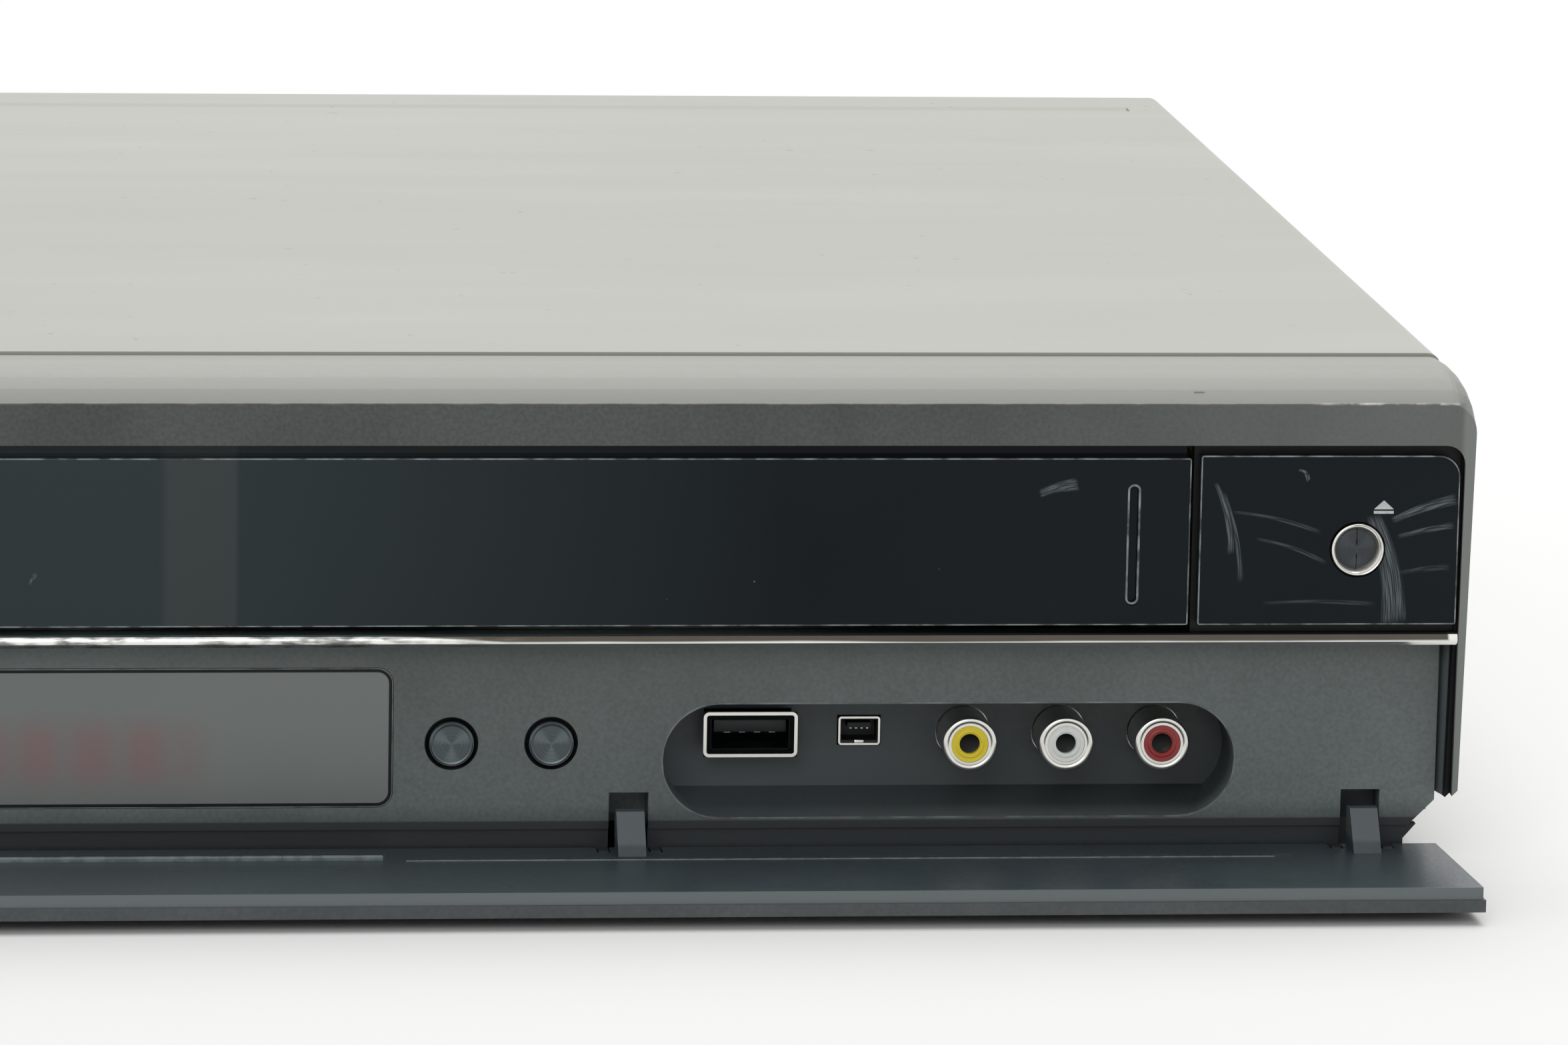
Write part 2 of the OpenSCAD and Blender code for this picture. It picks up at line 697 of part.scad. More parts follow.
module display_tube() {
    color("darkslategray") at_face() {
        block([-tube_x, panel_back + 4, window_z - 9], [tube_x, board_y - 2, window_z + 9]);
        for (z = [window_z - 8, window_z + 6.5])
            block([2 - tube_x, board_y - 2 - eps, z], [tube_x - 2, board_y, z + 1.5]);
    }
}

module tact_switch(x, z, y) {
    block([x - 3, y - switch_t, z - 3], [x + 3, y, z + 3]);
    rod(x, z, 1.7, y - switch_t - 1.2, y - switch_t + eps);
}

module front_board() {
    color("darkgreen") at_face() {
        block([front_board_x0, board_y, base_z + shelf_t + 0.5], [front_board_x1, board_y + board_t, lower_z1 - 1.5]);
        for (x = button_xs, s = [-1, 1])
            tact_switch(s * x, button_z, board_y);
        for (i = [2:3])
            tact_switch(-button_xs[0] - i * button_pitch, button_z, board_y);
        for (s = [-1, 1]) {
            a = s * (ring_x - 11);
            b = s * (inside_x - wall - 0.7);
            block([min(a, b), small_board_y, ring_z - 11], [max(a, b), small_board_y + board_t, ring_z + 6]);
            tact_switch(s * ring_x, ring_z, small_board_y + eps);
        }
    }
}

module small_button(x) {
    rod(x, button_z, button_r, panel_y - 0.6, panel_back + 0.4);
    rod(x, button_z, button_hole_r + 0.6, panel_back + seat_gap, panel_back + 1.2);
    rod(x, button_z, 1.5, panel_back + 1.1, plunger_y - 0.8);
}

module source_button() {
    color("dimgray") at_face() small_button(button_xs[0]);
}

module resolution_button() {
    color("dimgray") at_face() small_button(button_xs[1]);
}

module record_button() {
    color("dimgray") at_face() small_button(-button_xs[0]);
}

module pause_button() {
    color("dimgray") at_face() small_button(-button_xs[1]);
}

module stop_button() {
    color("dimgray") at_face() small_button(-button_xs[0] - 2 * button_pitch);
}

module play_button() {
    color("dimgray") at_face() small_button(-button_xs[0] - 3 * button_pitch);
}

module front_jack_shells() {
    color("silver") at_face()
        for (x = phono_xs) difference() {
            union() {
                rod(x, phono_z, phono_r, phono_face, recess_back + 2);
                rod(x, phono_z, phono_r + 1.4, recess_back + 1.5, recess_back + 2.5);
            }
            rod(x, phono_z, phono_core_r, phono_face - 1, recess_back + 4);
        }
}

module jack_insert(x) {
    difference() {
        union() {
            rod(x, phono_z, phono_core_r - 0.03, phono_face + 0.2, recess_back + 3);
            block([x - 5.5, recess_back + 2.5, phono_z - 5.5], [x + 5.5, board_y, phono_z + 5.5]);
        }
        rod(x, phono_z, phono_hole_r, phono_face - 1, phono_face + 9.2);
    }
}

module video_jack_insert() {
    color("gold") at_face() jack_insert(phono_xs[0]);
}

module left_audio_jack_insert() {
    color("white") at_face() jack_insert(phono_xs[1]);
}

module right_audio_jack_insert() {
    color("firebrick") at_face() jack_insert(phono_xs[2]);
}

module usb_port() {
    mouth = recess_back - 5;
    color("silver") at_face() {
        difference() {
            union() {
                block([usb_x - 6.55, mouth, usb_z - 2.85], [usb_x + 6.55, board_y, usb_z + 2.85]);
                // flared lip round the mouth
                block([usb_x - 7.25, mouth, usb_z - 3.5], [usb_x + 7.25, mouth + 0.5, usb_z + 3.5]);
            }
            block([usb_x - 6.15, mouth - 1, usb_z - 2.45], [usb_x + 6.15, board_y - 2, usb_z + 2.45]);
        }
        block([usb_x - 5.6, mouth + 1.2, usb_z + 0.2], [usb_x + 5.6, board_y - 2 + eps, usb_z + 2.1]);
    }
}

module dv_port() {
    mouth = recess_back - 0.6;
    color("dimgray") at_face() difference() {
        along(mouth, board_y)
            polygon([[dv_x - 3.2, dv_z + 2.2], [dv_x - 3.2, dv_z - 1.6], [dv_x - 2.6, dv_z - 2.2],
                [dv_x + 2.6, dv_z - 2.2], [dv_x + 3.2, dv_z - 1.6], [dv_x + 3.2, dv_z + 2.2]]);
        difference() {
            block([dv_x - 2.8, mouth - 1, dv_z - 1.5], [dv_x + 2.8, mouth + 4, dv_z + 1.8]);
            block([dv_x - 1.8, mouth + 0.4, dv_z + 0.4], [dv_x + 1.8, mouth + 5, dv_z + 1.2]);
        }
    }
}

// ---- Flap ----

module turned_open() {
    translate([0, pivot_y, pivot_z]) rotate([flap_angle, 0, 0]) translate([0, -pivot_y, -pivot_z]) children();
}

// One layer of the closed flap between two depths, round at its hinge end and narrower there
module flap_layer(y0, y1, x, z1) {
    intersection() {
        across(-x, x) union() {
            intersection() {
                translate([pivot_y, pivot_z]) circle(flap_round);
                translate([y0, 0]) square([y1 - y0, pivot_z + 1]);
            }
            translate([y0, pivot_z]) square([y1 - y0, z1 - pivot_z]);
        }
        along(-1, 8) polygon([[flap_taper - x, 0], [x - flap_taper, 0], [x, z1], [-x, z1]]);
    }
}

// Room for the hinge lugs and pins
module hinge_cuts() {
    for (x = arm_xs, t = [-1, 1], s = [-1, 1]) {
        lug = t * x + s * lug_x;
        block([lug - lug_t / 2 - 0.3, pivot_y - lug_r - seat_gap, -big],
            [lug + lug_t / 2 + 0.3, pivot_y + 10, pivot_z + lug_r + seat_gap]);
    }
    for (x = arm_xs, t = [-1, 1])
        axle(pivot_y, pivot_z, pin_r + run_fit + 0.02, t * x - lug_x - 1, t * x + lug_x + 1);
}

module flap_skin() {
    color("dimgray") at_face() turned_open() difference() {
        flap_layer(0, skin_t, flap_x, flap_z1);
        hinge_cuts();
    }
}

module flap_panel() {
    x1 = flap_x - 0.4;
    color("dimgray") at_face() turned_open() difference() {
        union() {
            flap_layer(skin_t, flap_t, x1, flap_z1 - 0.3);
            // arms that carry the flap, inside the slots
            for (x = arm_xs, s = [-1, 1])
                across(s * x - arm_w / 2, s * x + arm_w / 2) translate([pivot_y, pivot_z]) intersection() {
                    circle(arm_r);
                    polygon([[0, -1.9], [8, -1.9], [8, 0.8], [flap_t - pivot_y - 0.5, 6.2], [0, 6.2]]);
                }
            // low ridges inside the flap
            across(-window_x + 1, window_x - 1)
                translate([flap_t - eps, pivot_z + 3.2]) square([0.5, 1.6]);
            for (s = [-1, 1])
                across(min(s * (window_x + 2), s * (x1 - 25)), max(s * (window_x + 2), s * (x1 - 25)))
                    translate([flap_t - eps, pivot_z + 6.5]) square([0.25, 0.5]);
        }
        hinge_cuts();
    }
}

// ---- Disc drive ----

// Lip behind the top edge of a front, which closes the gap under the bezel's band
module top_lip(x0, x1) {
    block([x0 + 0.4, front_t - 0.1, fronts_z1 - 3], [x1 - 0.4, front_t + lip_t, gloss_z1 - 0.2]);
}

module tray_front() {
    color("black") at_face() difference() {
        union() {
            block([tray_x0, 0, fronts_z0], [tray_x1, front_t, fronts_z1]);
            top_lip(tray_x0, tray_x1);
        }
        along(-1, 0.8) polygon(rounded([tray_x0 + 7.7, fronts_z0 + 3], [tray_x0 + 9.7, fronts_z1 - 4], 0.95));
    }
}

module disc_tray() {
    half = tray_w / 2;
    rack_y0 = gear_y - rack_lead;
    teeth = ceil((tray_y1 - 8 - rack_y0) / tooth);
    color("dimgray") at_face() {
        difference() {
            union() {
                translate([0, 0, tray_z]) linear_extrude(tray_t)
                    polygon(rounded([tray_x - half, front_t], [tray_x + half, tray_y1], 1));
                for (s = [-1, 1])
                    block([tray_x + min(s * (half - 1), s * (half + lip_w)), 20, lip_z],
                        [tray_x + max(s * (half - 1), s * (half + lip_w)), tray_y1 - 2, lip_z + 2]);
            }
            translate([tray_x, well_y, well_z]) cylinder(d = well_d, h = 10, $fn = 96);
            translate([tray_x, well_y, well_z - 0.8]) cylinder(r = 40.5, h = 10, $fn = 96);
            // finger notches at the rim of the well
            for (s = [-1, 1])
                translate([tray_x + s * (half - 14), well_y - 46, well_z]) cylinder(r = 12, h = 10);
            // spindle hole and the lens window behind it
            translate([tray_x, well_y, 0]) cylinder(r = 17, h = big);
            block([tray_x - 17, well_y, 0], [tray_x + 17, well_y + 62, big]);
            // the tail is hollow below
            block([tray_x - half + 12, well_y + 66, tray_z - 1], [tray_x + half - 6, tray_y1 - 4, tray_z + tray_t - 2]);
        }
        // rack for the gear
        translate([0, 0, tray_z - gear_h - 1]) linear_extrude(gear_h + 1 + eps)
            polygon(concat(
                [[rack_x - 4, rack_y0 + teeth * tooth], [rack_x - 4, rack_y0]],
                [for (i = [0:teeth - 1]) each
                    let (y = rack_y0 + i * tooth)
                    [[rack_x - 1.25, y], [rack_x - 1.25, y + tooth * 0.12], [rack_x + 1, y + tooth * 0.38],
                        [rack_x + 1, y + tooth * 0.62], [rack_x - 1.25, y + tooth * 0.88]]],
                [[rack_x - 1.25, rack_y0 + teeth * tooth]]));
    }
}

// Outline of a gear with one of its gaps at the angle 180
module gear_outline(teeth, r) {
    step = 360 / teeth;
    polygon([for (i = [0:teeth - 1]) each
        let (a = 180 + (i + 0.5) * step)
        [(r - 1.2) * [cos(a - step * 0.32), sin(a - step * 0.32)],
            r * [cos(a - step * 0.22), sin(a - step * 0.22)],
            (r + 0.9) * [cos(a - step * 0.1), sin(a - step * 0.1)],
            (r + 0.9) * [cos(a + step * 0.1), sin(a + step * 0.1)],
            r * [cos(a + step * 0.22), sin(a + step * 0.22)],
            (r - 1.2) * [cos(a + step * 0.32), sin(a + step * 0.32)]]]);
}

module tray_gear() {
    // turned so that a tooth stands in the nearest gap of the rack
    phase = 360 / gear_teeth * ((rack_lead / tooth + 0.5) % 1);
    color("white") at_face() translate([gear_x, gear_y, gear_z]) difference() {
        rotate([0, 0, phase]) linear_extrude(gear_h) gear_outline(gear_teeth, gear_r);
        translate([0, 0, -1]) cylinder(r = 2 + run_fit, h = big);
        translate([0, 0, gear_h - 1]) cylinder(r = gear_r - 3, h = 2);
    }
}

module drive_frame() {
    half = tray_w / 2;
    groove_x = half + lip_w + 0.4;
    color("gray") at_face() {
        difference() {
            block([tray_x - drive_x, drive_y0, drive_z0], [tray_x + drive_x, drive_y1, drive_z1]);
            // channel for the tray
            block([tray_x - half - 0.4, 0, tray_z - 9], [tray_x + half + 0.4, drive_y1 - 2.5, big]);
            block([tray_x - groove_x, 0, lip_z - 0.3], [tray_x + groove_x, drive_y1 - 2.5, lip_z + 2.3]);
            // space for the spindle's frame
            block([tray_x - half + 4, drive_y0 + 22, drive_z0 + wall], [tray_x + half - 4, drive_y1 - 2.5, big]);
            block([tray_x - 43, drive_y0 + 26, 0], [tray_x + 43, drive_y1 - 8, big]);
            // cut-outs in the side walls
            for (y = [60, 112])
                block([tray_x - big / 2, y, drive_z0 + 6], [tray_x + big / 2, y + 36, tray_z - 10]);
        }
        for (s = [-1, 1], y = [drive_y0 + 6, drive_y1 - 10])
            translate([tray_x + s * (drive_x - 8), y, floor_z]) cylinder(r = 4, h = drive_z0 - floor_z + 0.1);
        // lugs for the pins of the spindle's frame
        for (s = [-1, 1])
            difference() {
                block([tray_x + s * 46 - 1.5, lift_y - 5, drive_z0], [tray_x + s * 46 + 1.5, lift_y + 5, lift_z + 4]);
                axle(lift_y, lift_z, 2 + run_fit, tray_x - 60, tray_x + 60);
            }
        // post of the tray gear
        translate([gear_x, gear_y, tray_z - 9.1]) cylinder(r = 5, h = gear_z - seat_gap - tray_z + 9.1);
        translate([gear_x, gear_y, tray_z - 9.1]) cylinder(r = 2, h = gear_z + gear_h - tray_z + 9);
    }
}

// Lowers the spindle's frame about its rear pins
module lowered() {
    translate([0, lift_y, lift_z]) rotate([lift_angle, 0, 0]) translate([0, -lift_y, -lift_z]) children();
}

module traverse() {
    color("dimgray") at_face() lowered() {
        difference() {
            union() {
                block([tray_x - 38, 54, lift_z - 2], [tray_x + 38, lift_y + 7, lift_z + 1]);
                for (s = [-1, 1])
                    block([tray_x + s * 36 - 2, 54, lift_z - 2], [tray_x + s * 36 + 2, lift_y + 7, lift_z + 4]);
                for (s = [-1, 1], y = [90, 168])
                    block([tray_x + s * rail_x - 3.5, y, lift_z - 1], [tray_x + s * rail_x + 3.5, y + 3, rail_z + 3]);
                axle(lift_y, lift_z, 2, tray_x - 47, tray_x + 47);
            }
            block([tray_x - 31, 93 + eps, 0], [tray_x + 31, 168 - eps, big]);
            for (s = [-1, 1])
                rod(tray_x + s * rail_x, rail_z, rail_r, 89, 172);
        }
        // guide rods
        for (s = [-1, 1])
            rod(tray_x + s * rail_x, rail_z, rail_r, 90, 171);
        // spindle motor
        difference() {
            translate([tray_x, well_y, lift_z - 4]) cylinder(r = 13, h = 12);
            translate([tray_x, well_y, lift_z]) cylinder(r = 1.5 + run_fit, h = 20);
        }
    }
}

module optical_sled() {
    color("black") at_face() lowered() {
        difference() {
            block([tray_x - 29, well_y + 17, rail_z - 3.5], [tray_x + 29, well_y + 51, rail_z + 3.5]);
            for (s = [-1, 1])
                rod(tray_x + s * rail_x, rail_z, rail_r + run_fit, 80, 180);
        }
        translate([tray_x, well_y + 24, rail_z + 3.4]) cylinder(r = 8, h = 3);
        translate([tray_x, well_y + 24, rail_z + 6.3]) cylinder(r = 3.2, h = 0.8);
    }
}

module turntable() {
    color("dimgray") at_face() lowered() translate([tray_x, well_y, 0]) {
        translate([0, 0, spindle_z - 3]) cylinder(r = 12, h = 3);
        translate([0, 0, spindle_z - 0.1]) cylinder(r1 = 7.4, r2 = 6.4, h = 2.6);
        translate([0, 0, lift_z + 8 + seat_gap]) cylinder(r = 5, h = spindle_z - lift_z - 10);
        translate([0, 0, lift_z + 1]) cylinder(r = 1.5, h = 10);
    }
}

module clamp_bridge() {
    color("silver") at_face() difference() {
        block([tray_x - drive_x + 1, well_y - 14, drive_z1], [tray_x + drive_x - 1, well_y + 14, drive_z1 + bridge_t]);
        translate([tray_x, well_y, 0]) cylinder(r = 6.3, h = big);
        for (s = [-1, 1])
            translate([tray_x + s * 38, well_y, 0]) cylinder(r = 9, h = big);
    }
}

module clamp_puck() {
    color("black") at_face() translate([tray_x, well_y, 0]) difference() {
        union() {
            translate([0, 0, puck_z]) cylinder(r = 14, h = 3);
            translate([0, 0, puck_z + 2.9]) cylinder(r = 5.8, h = drive_z1 - puck_z);
            translate([0, 0, drive_z1 + bridge_t + seat_gap]) cylinder(r = 9, h = 1.4);
        }
        translate([0, 0, puck_z - 1]) cylinder(r = 8.5, h = 3.2);
    }
}

// ---- Cassette deck ----

module vcr_door() {
    color("black") at_face() {
        difference() {
            union() {
                block([door_x0, 0, fronts_z0], [door_x1, front_t, fronts_z1]);
                top_lip(door_x0, door_x1);
            }
            along(-1, 0.8) polygon(rounded([door_x1 - 9.7, fronts_z0 + 3], [door_x1 - 7.7, fronts_z1 - 4], 0.95));
        }
        // ears and pins
        for (side = [[door_x0 + 0.6, -1], [door_x1 - 2.6, 1]]) {
            across(side[0], side[0] + 2) union() {
                translate(door_pivot) circle(1.7);
                polygon([[front_t - 0.1, fronts_z1 - 8], [front_t - 0.1, fronts_z1 - 1], [door_pivot[0] - 1.6, door_pivot[1]],
                    [door_pivot[0] + 1.6, door_pivot[1]], [front_t + 1.6, fronts_z1 - 8]]);
            }
            pin_x0 = side[1] > 0 ? side[0] + 1 : door_x0 - middle_gap;
            pin_x1 = side[1] > 0 ? door_x1 + 0.4 + door_lug_t : side[0] + 1;
            axle(door_pivot[0], door_pivot[1], door_pin_r, pin_x0, pin_x1);
        }
    }
}

module at_deck() {
    at_face() translate([deck_x, 0, 0]) children();
}

module deck_chassis() {
    color("silver") at_deck() {
        difference() {
            union() {
                block([-deck_half, deck_y0, plate_z1 - deck_t], [deck_half, deck_y1, plate_z1]);
                for (s = [-1, 1])
                    block([min(s * deck_half, s * (deck_half - deck_t)), deck_y0, floor_z],
                        [max(s * deck_half, s * (deck_half - deck_t)), deck_y1, plate_z1]);
                // bearing of the capstan
                translate([capstan_at[0], capstan_at[1], plate_z1 - deck_t - 2.5]) cylinder(r = 4, h = 6);
            }
            translate([capstan_at[0], capstan_at[1], 0]) cylinder(r = 1.5 + run_fit, h = big);
            // weight-saving cut-outs
            translate([0, 0, plate_z1 - 2]) linear_extrude(4) {
                polygon(rounded([-18, deck_y0 + 14], [18, 128], 4));
                polygon(rounded([-90, 108], [-30, 132], 4));
                polygon(rounded([-92, 170], [-44, 206], 4));
                polygon(rounded([44, 176], [92, 206], 4));
            }
        }
        for (s = [-1, 1]) translate([s * reel_x, reel_y, plate_z1 - 0.1]) {
            cylinder(r = 4, h = 1.8);
            cylinder(r = 1.5, h = reel_z1 - plate_z1 - 1.5);
        }
        translate([pinch_pivot[0], pinch_pivot[1], plate_z1 - 0.1]) cylinder(r = 2, h = 7);
    }
}

module reel(x) {
    color("white") at_deck() translate([x, reel_y, plate_z1 + 2]) difference() {
        union() {
            cylinder(r = 18, h = 2.6);
            cylinder(r = 8, h = reel_z1 - plate_z1 - 2);
            for (a = [0, 120, 240])
                rotate([0, 0, a]) block([6, -0.8, 2], [10.4, 0.8, reel_z1 - plate_z1 - 3.5]);
        }
        translate([0, 0, -1]) cylinder(r = 1.5 + run_fit, h = reel_z1 - plate_z1 - 1);
    }
}

module supply_reel() {
    reel(-reel_x);
}

module takeup_reel() {
    reel(reel_x);
}

module cassette_brackets() {
    y1 = basket_y1 + basket_in + 6;
    color("silver") at_deck() {
        for (s = [-1, 1]) {
            difference() {
                across(min(s * bracket_x, s * (bracket_x + deck_t)), max(s * bracket_x, s * (bracket_x + deck_t)))
                    polygon([[basket_wall_y0, plate_z1], [y1, plate_z1], [y1, bracket_z1],
                        [basket_wall_y0 + 6, bracket_z1], [basket_wall_y0, bracket_z1 - 6]]);
                across(-big, big) polygon(rounded(
                    [guide_ys[0] - guide_r - guide_fit, guide_z - guide_r - guide_fit],
                    [guide_ys[1] + basket_in + guide_r + guide_fit, guide_z + guide_r + guide_fit], guide_r, 8));
            }
        }
        // bridge over the top
        block([-bracket_x - deck_t, y1 - 30, bracket_z1 - 0.2], [bracket_x + deck_t, y1, bracket_z1 + deck_t]);
    }
}

module basket_slider() {
    color("gray") at_deck() {
        for (s = [-1, 1]) {
            difference() {
                across(min(s * slider_x, s * (slider_x + slider_t)), max(s * slider_x, s * (slider_x + slider_t)))
                    polygon(rounded([basket_wall_y0 + 2, hang_z - basket_drop - 5], [basket_y1 - 2, slider_z1], 2));
                for (y = hang_ys)
                    across(-big, big) polygon(rounded(
                        [y - guide_r - guide_fit, hang_z - basket_drop - guide_r - guide_fit],
                        [y + guide_r + guide_fit, hang_z + guide_r + guide_fit], guide_r, 8));
            }
            for (y = guide_ys)
                axle(y, guide_z, guide_r, min(s * (slider_x + 0.5), s * (bracket_x + deck_t + 1)),
                    max(s * (slider_x + 0.5), s * (bracket_x + deck_t + 1)));
        }
        block([-slider_x - slider_t, basket_y1 - 8, slider_z1 - 2.2], [slider_x + slider_t, basket_y1 - 2, slider_z1]);
    }
}

module cassette_basket() {
    x1 = basket_x + basket_t;
    color("gray") at_deck() {
        for (s = [-1, 1]) {
            // ledge, side wall and rear stop
            block([min(s * 72, s * x1), basket_y0, basket_z - basket_t], [max(s * 72, s * x1), basket_y1, basket_z]);
            block([min(s * basket_x, s * x1), basket_wall_y0, basket_z - basket_t],
                [max(s * basket_x, s * x1), basket_y1, basket_z1 + basket_t]);
            block([min(s * 74, s * x1), basket_y1 - basket_t, basket_z - basket_t],
                [max(s * 74, s * x1), basket_y1, basket_z + 8]);
            for (y = hang_ys)
                axle(y, hang_z, guide_r, min(s * (basket_x + 0.5), s * (slider_x + slider_t)),
                    max(s * (basket_x + 0.5), s * (slider_x + slider_t)));
        }
        difference() {
            block([-x1, basket_wall_y0, basket_z1], [x1, basket_y1, basket_z1 + basket_t]);
            translate([0, 0, basket_z1 - 1]) linear_extrude(4)
                polygon(rounded([-60, basket_wall_y0 + 12], [60, basket_y1 - 8], 4));
        }
    }
}

module leaning() {
    translate([0, drum_y, drum_z]) rotate([0, drum_lean, 0]) children();
}

module drum_base() {
    color("silver") at_deck() difference() {
        union() {
            translate([0, drum_y, plate_z1]) cylinder(r = 20, h = drum_z - plate_z1 + 4);
            leaning() cylinder(r = drum_r, h = 10);
        }
        leaning() translate([0, 0, -20]) cylinder(r = 3 + run_fit, h = 40);
    }
}

module head_drum() {
    color("gainsboro") at_deck() leaning() {
        difference() {
            translate([0, 0, 10 + seat_gap]) cylinder(r = drum_r, h = 11);
            for (a = [0, 180])
                rotate([0, 0, a]) block([drum_r - 2.5, -2, 10], [drum_r + 1, 2, 14]);
            translate([0, 0, 19]) cylinder(r = 20, h = 5);
        }
        cylinder(r = 3, h = 12);
        translate([0, 0, 18]) cylinder(r = 6, h = 5);
    }
}

module capstan() {
    color("silver") at_deck() translate([capstan_at[0], capstan_at[1], 0]) {
        translate([0, 0, floor_z + 1.9]) cylinder(r = 20, h = plate_z1 - deck_t - 2.5 - seat_gap - floor_z - 1.9);
        translate([0, 0, floor_z + 1.9]) cylinder(r = 1.5, h = plate_z1 + 26 - floor_z - 1.9);
    }
}

module pinch_arm() {
    arm = pinch_at - pinch_pivot;
    z0 = plate_z1 + seat_gap;
    color("silver") at_deck() {
        translate([0, 0, z0]) linear_extrude(3) difference() {
            union() {
                translate(pinch_pivot) circle(4);
                translate(pinch_at) circle(4);
                translate(pinch_pivot) rotate(atan2(arm[1], arm[0])) translate([0, -2.5]) square([norm(arm), 5]);
            }
            translate(pinch_pivot) circle(2 + run_fit);
        }
        translate([pinch_at[0], pinch_at[1], z0 + 2]) cylinder(r = 1.5, h = 21);
    }
}

module pinch_roller() {
    color("black") at_deck() translate([pinch_at[0], pinch_at[1], plate_z1 + 2 * seat_gap + 3]) difference() {
        cylinder(r = 6.5, h = 16);
        translate([0, 0, -1]) cylinder(r = 1.5 + run_fit, h = 20);
    }
}

module tape_posts() {
    color("gainsboro") at_deck() {
        for (p = [[-44, 144], [-36, 152], [30, 145], [84, 172]])
            translate([p[0], p[1], plate_z1]) {
                cylinder(r = 2, h = 24);
                cylinder(r = 3.4, h = 6);
                translate([0, 0, 20]) cylinder(r = 3.4, h = 1.5);
            }
        // erase head and sound head
        block([-66, 146, plate_z1], [-56, 152, plate_z1 + 22]);
        block([38, 150, plate_z1], [47, 158, plate_z1 + 22]);
    }
}

// ---- Rear ----

function tuner_top() = board_z + board_t + 30;

module main_board() {
    z = board_z + board_t;
    color("darkgreen") at_face() {
        block([main_x0, rear_board_y0, board_z], [main_x1, rear_board_y1, z]);
        // processor with its heat sink, memory and connectors
        chip_x = main_x0 + 140;
        block([chip_x, rear_board_y - 15, z - eps], [chip_x + 30, rear_board_y + 15, z + 2]);
        for (i = [0:6])
            block([chip_x + 4.6 * i, rear_board_y - 15, z + 2 - eps], [chip_x + 2.4 + 4.6 * i, rear_board_y + 15, z + 11]);
        for (x = [main_x0 + 90, main_x0 + 110], y = [rear_board_y - 20, rear_board_y - 2])
            block([x, y, z - eps], [x + 12, y + 16, z + 1.4]);
        for (x = [main_x0 + 14, main_x0 + 50, main_x1 - 50, main_x1 - 30])
            block([x, rear_board_y0 + 2, z - eps], [x + 16, rear_board_y0 + 8, z + 8]);
    }
}

// Upright capacitor on the power board
module capacitor(x, y, r, h) {
    translate([power_x0 + x, y, board_z + board_t - eps]) cylinder(r = r, h = h);
}

module power_board() {
    z = board_z + board_t;
    core_x = power_x0 + 24;
    color("peru") at_face() {
        block([power_x0, rear_board_y0, board_z], [power_x1, rear_board_y1, z]);
        // transformer
        block([core_x, rear_board_y - 16, z - eps], [core_x + 38, rear_board_y + 16, z + 8]);
        block([core_x + 4, rear_board_y - 20, z + 8 - eps], [core_x + 34, rear_board_y + 20, z + 24]);
        block([core_x, rear_board_y - 16, z + 24 - eps], [core_x + 38, rear_board_y + 16, z + 30]);
        capacitor(82, rear_board_y + 6, 11, 30);
        capacitor(112, rear_board_y + 6, 5, 20);
        capacitor(16, rear_board_y0 + 9, 6, 22);
        capacitor(36, rear_board_y0 + 9, 6, 22);
        capacitor(110, rear_board_y0 + 18, 5, 16);
        // heat sinks
        block([power_x0 + 4, rear_board_y - 18, z - eps], [power_x0 + 7, rear_board_y + 18, z + 28]);
        block([power_x0 + 70, rear_board_y0 + 4, z - eps], [power_x0 + 100, rear_board_y0 + 7, z + 26]);
    }
}

module rear_jack_block() {
    color("black") at_face() difference() {
        block([rear_phono_xs[0] - 8, back_y - 14, board_z + board_t],
            [rear_phono_xs[5] + 8, back_y - seat_gap, rear_phono_zs[1] + 8]);
        for (x = rear_phono_xs, z = rear_phono_zs)
            rod(x, z, phono_r + 0.05, back_y - 4, back_y + 1);
    }
}

module rear_jack_shells() {
    color("silver") at_face()
        for (x = rear_phono_xs, z = rear_phono_zs) difference() {
            rod(x, z, phono_r, back_y - 4, case_d + plug_reach);
            rod(x, z, phono_hole_r, case_d - 0.5, case_d + plug_reach + 1);
        }
}

module tuner_box() {
    color("silver") at_face() {
        difference() {
            block([tuner_x - 18, back_y - tuner_d, board_z + board_t],
                [tuner_x + 18, back_y - seat_gap, tuner_top()]);
            block([tuner_x - 17, back_y - tuner_d + 1, 0], [tuner_x + 17, back_y - seat_gap - 1, tuner_top() - 1]);
        }
        for (z = [tuner_top() - 7, tuner_top() - 21]) difference() {
            rod(tuner_x, z, 4.8, back_y - 1, case_d + plug_reach);
            rod(tuner_x, z, 3.2, case_d - 1, case_d + plug_reach + 1);
        }
    }
}

module power_inlet() {
    y0 = back_y - 12;
    color("black") at_face() {
        difference() {
            union() {
                block([inlet_x - 11, y0, inlet_z - 7], [inlet_x + 11, case_d + 0.6, inlet_z + 7]);
                block([inlet_x - 9, y0, board_z + board_t], [inlet_x + 9, back_y - 2, inlet_z - 6]);
            }
            along(y0 + 1.5, case_d + 2)
                polygon(rounded([inlet_x - 7.4, inlet_z - 4.4], [inlet_x + 7.4, inlet_z + 4.4], 4.3, 8));
        }
        for (s = [-1, 1])
            rod(inlet_x + s * 4.3, inlet_z, 1.2, y0 + 1, case_d - 1.5);
    }
}

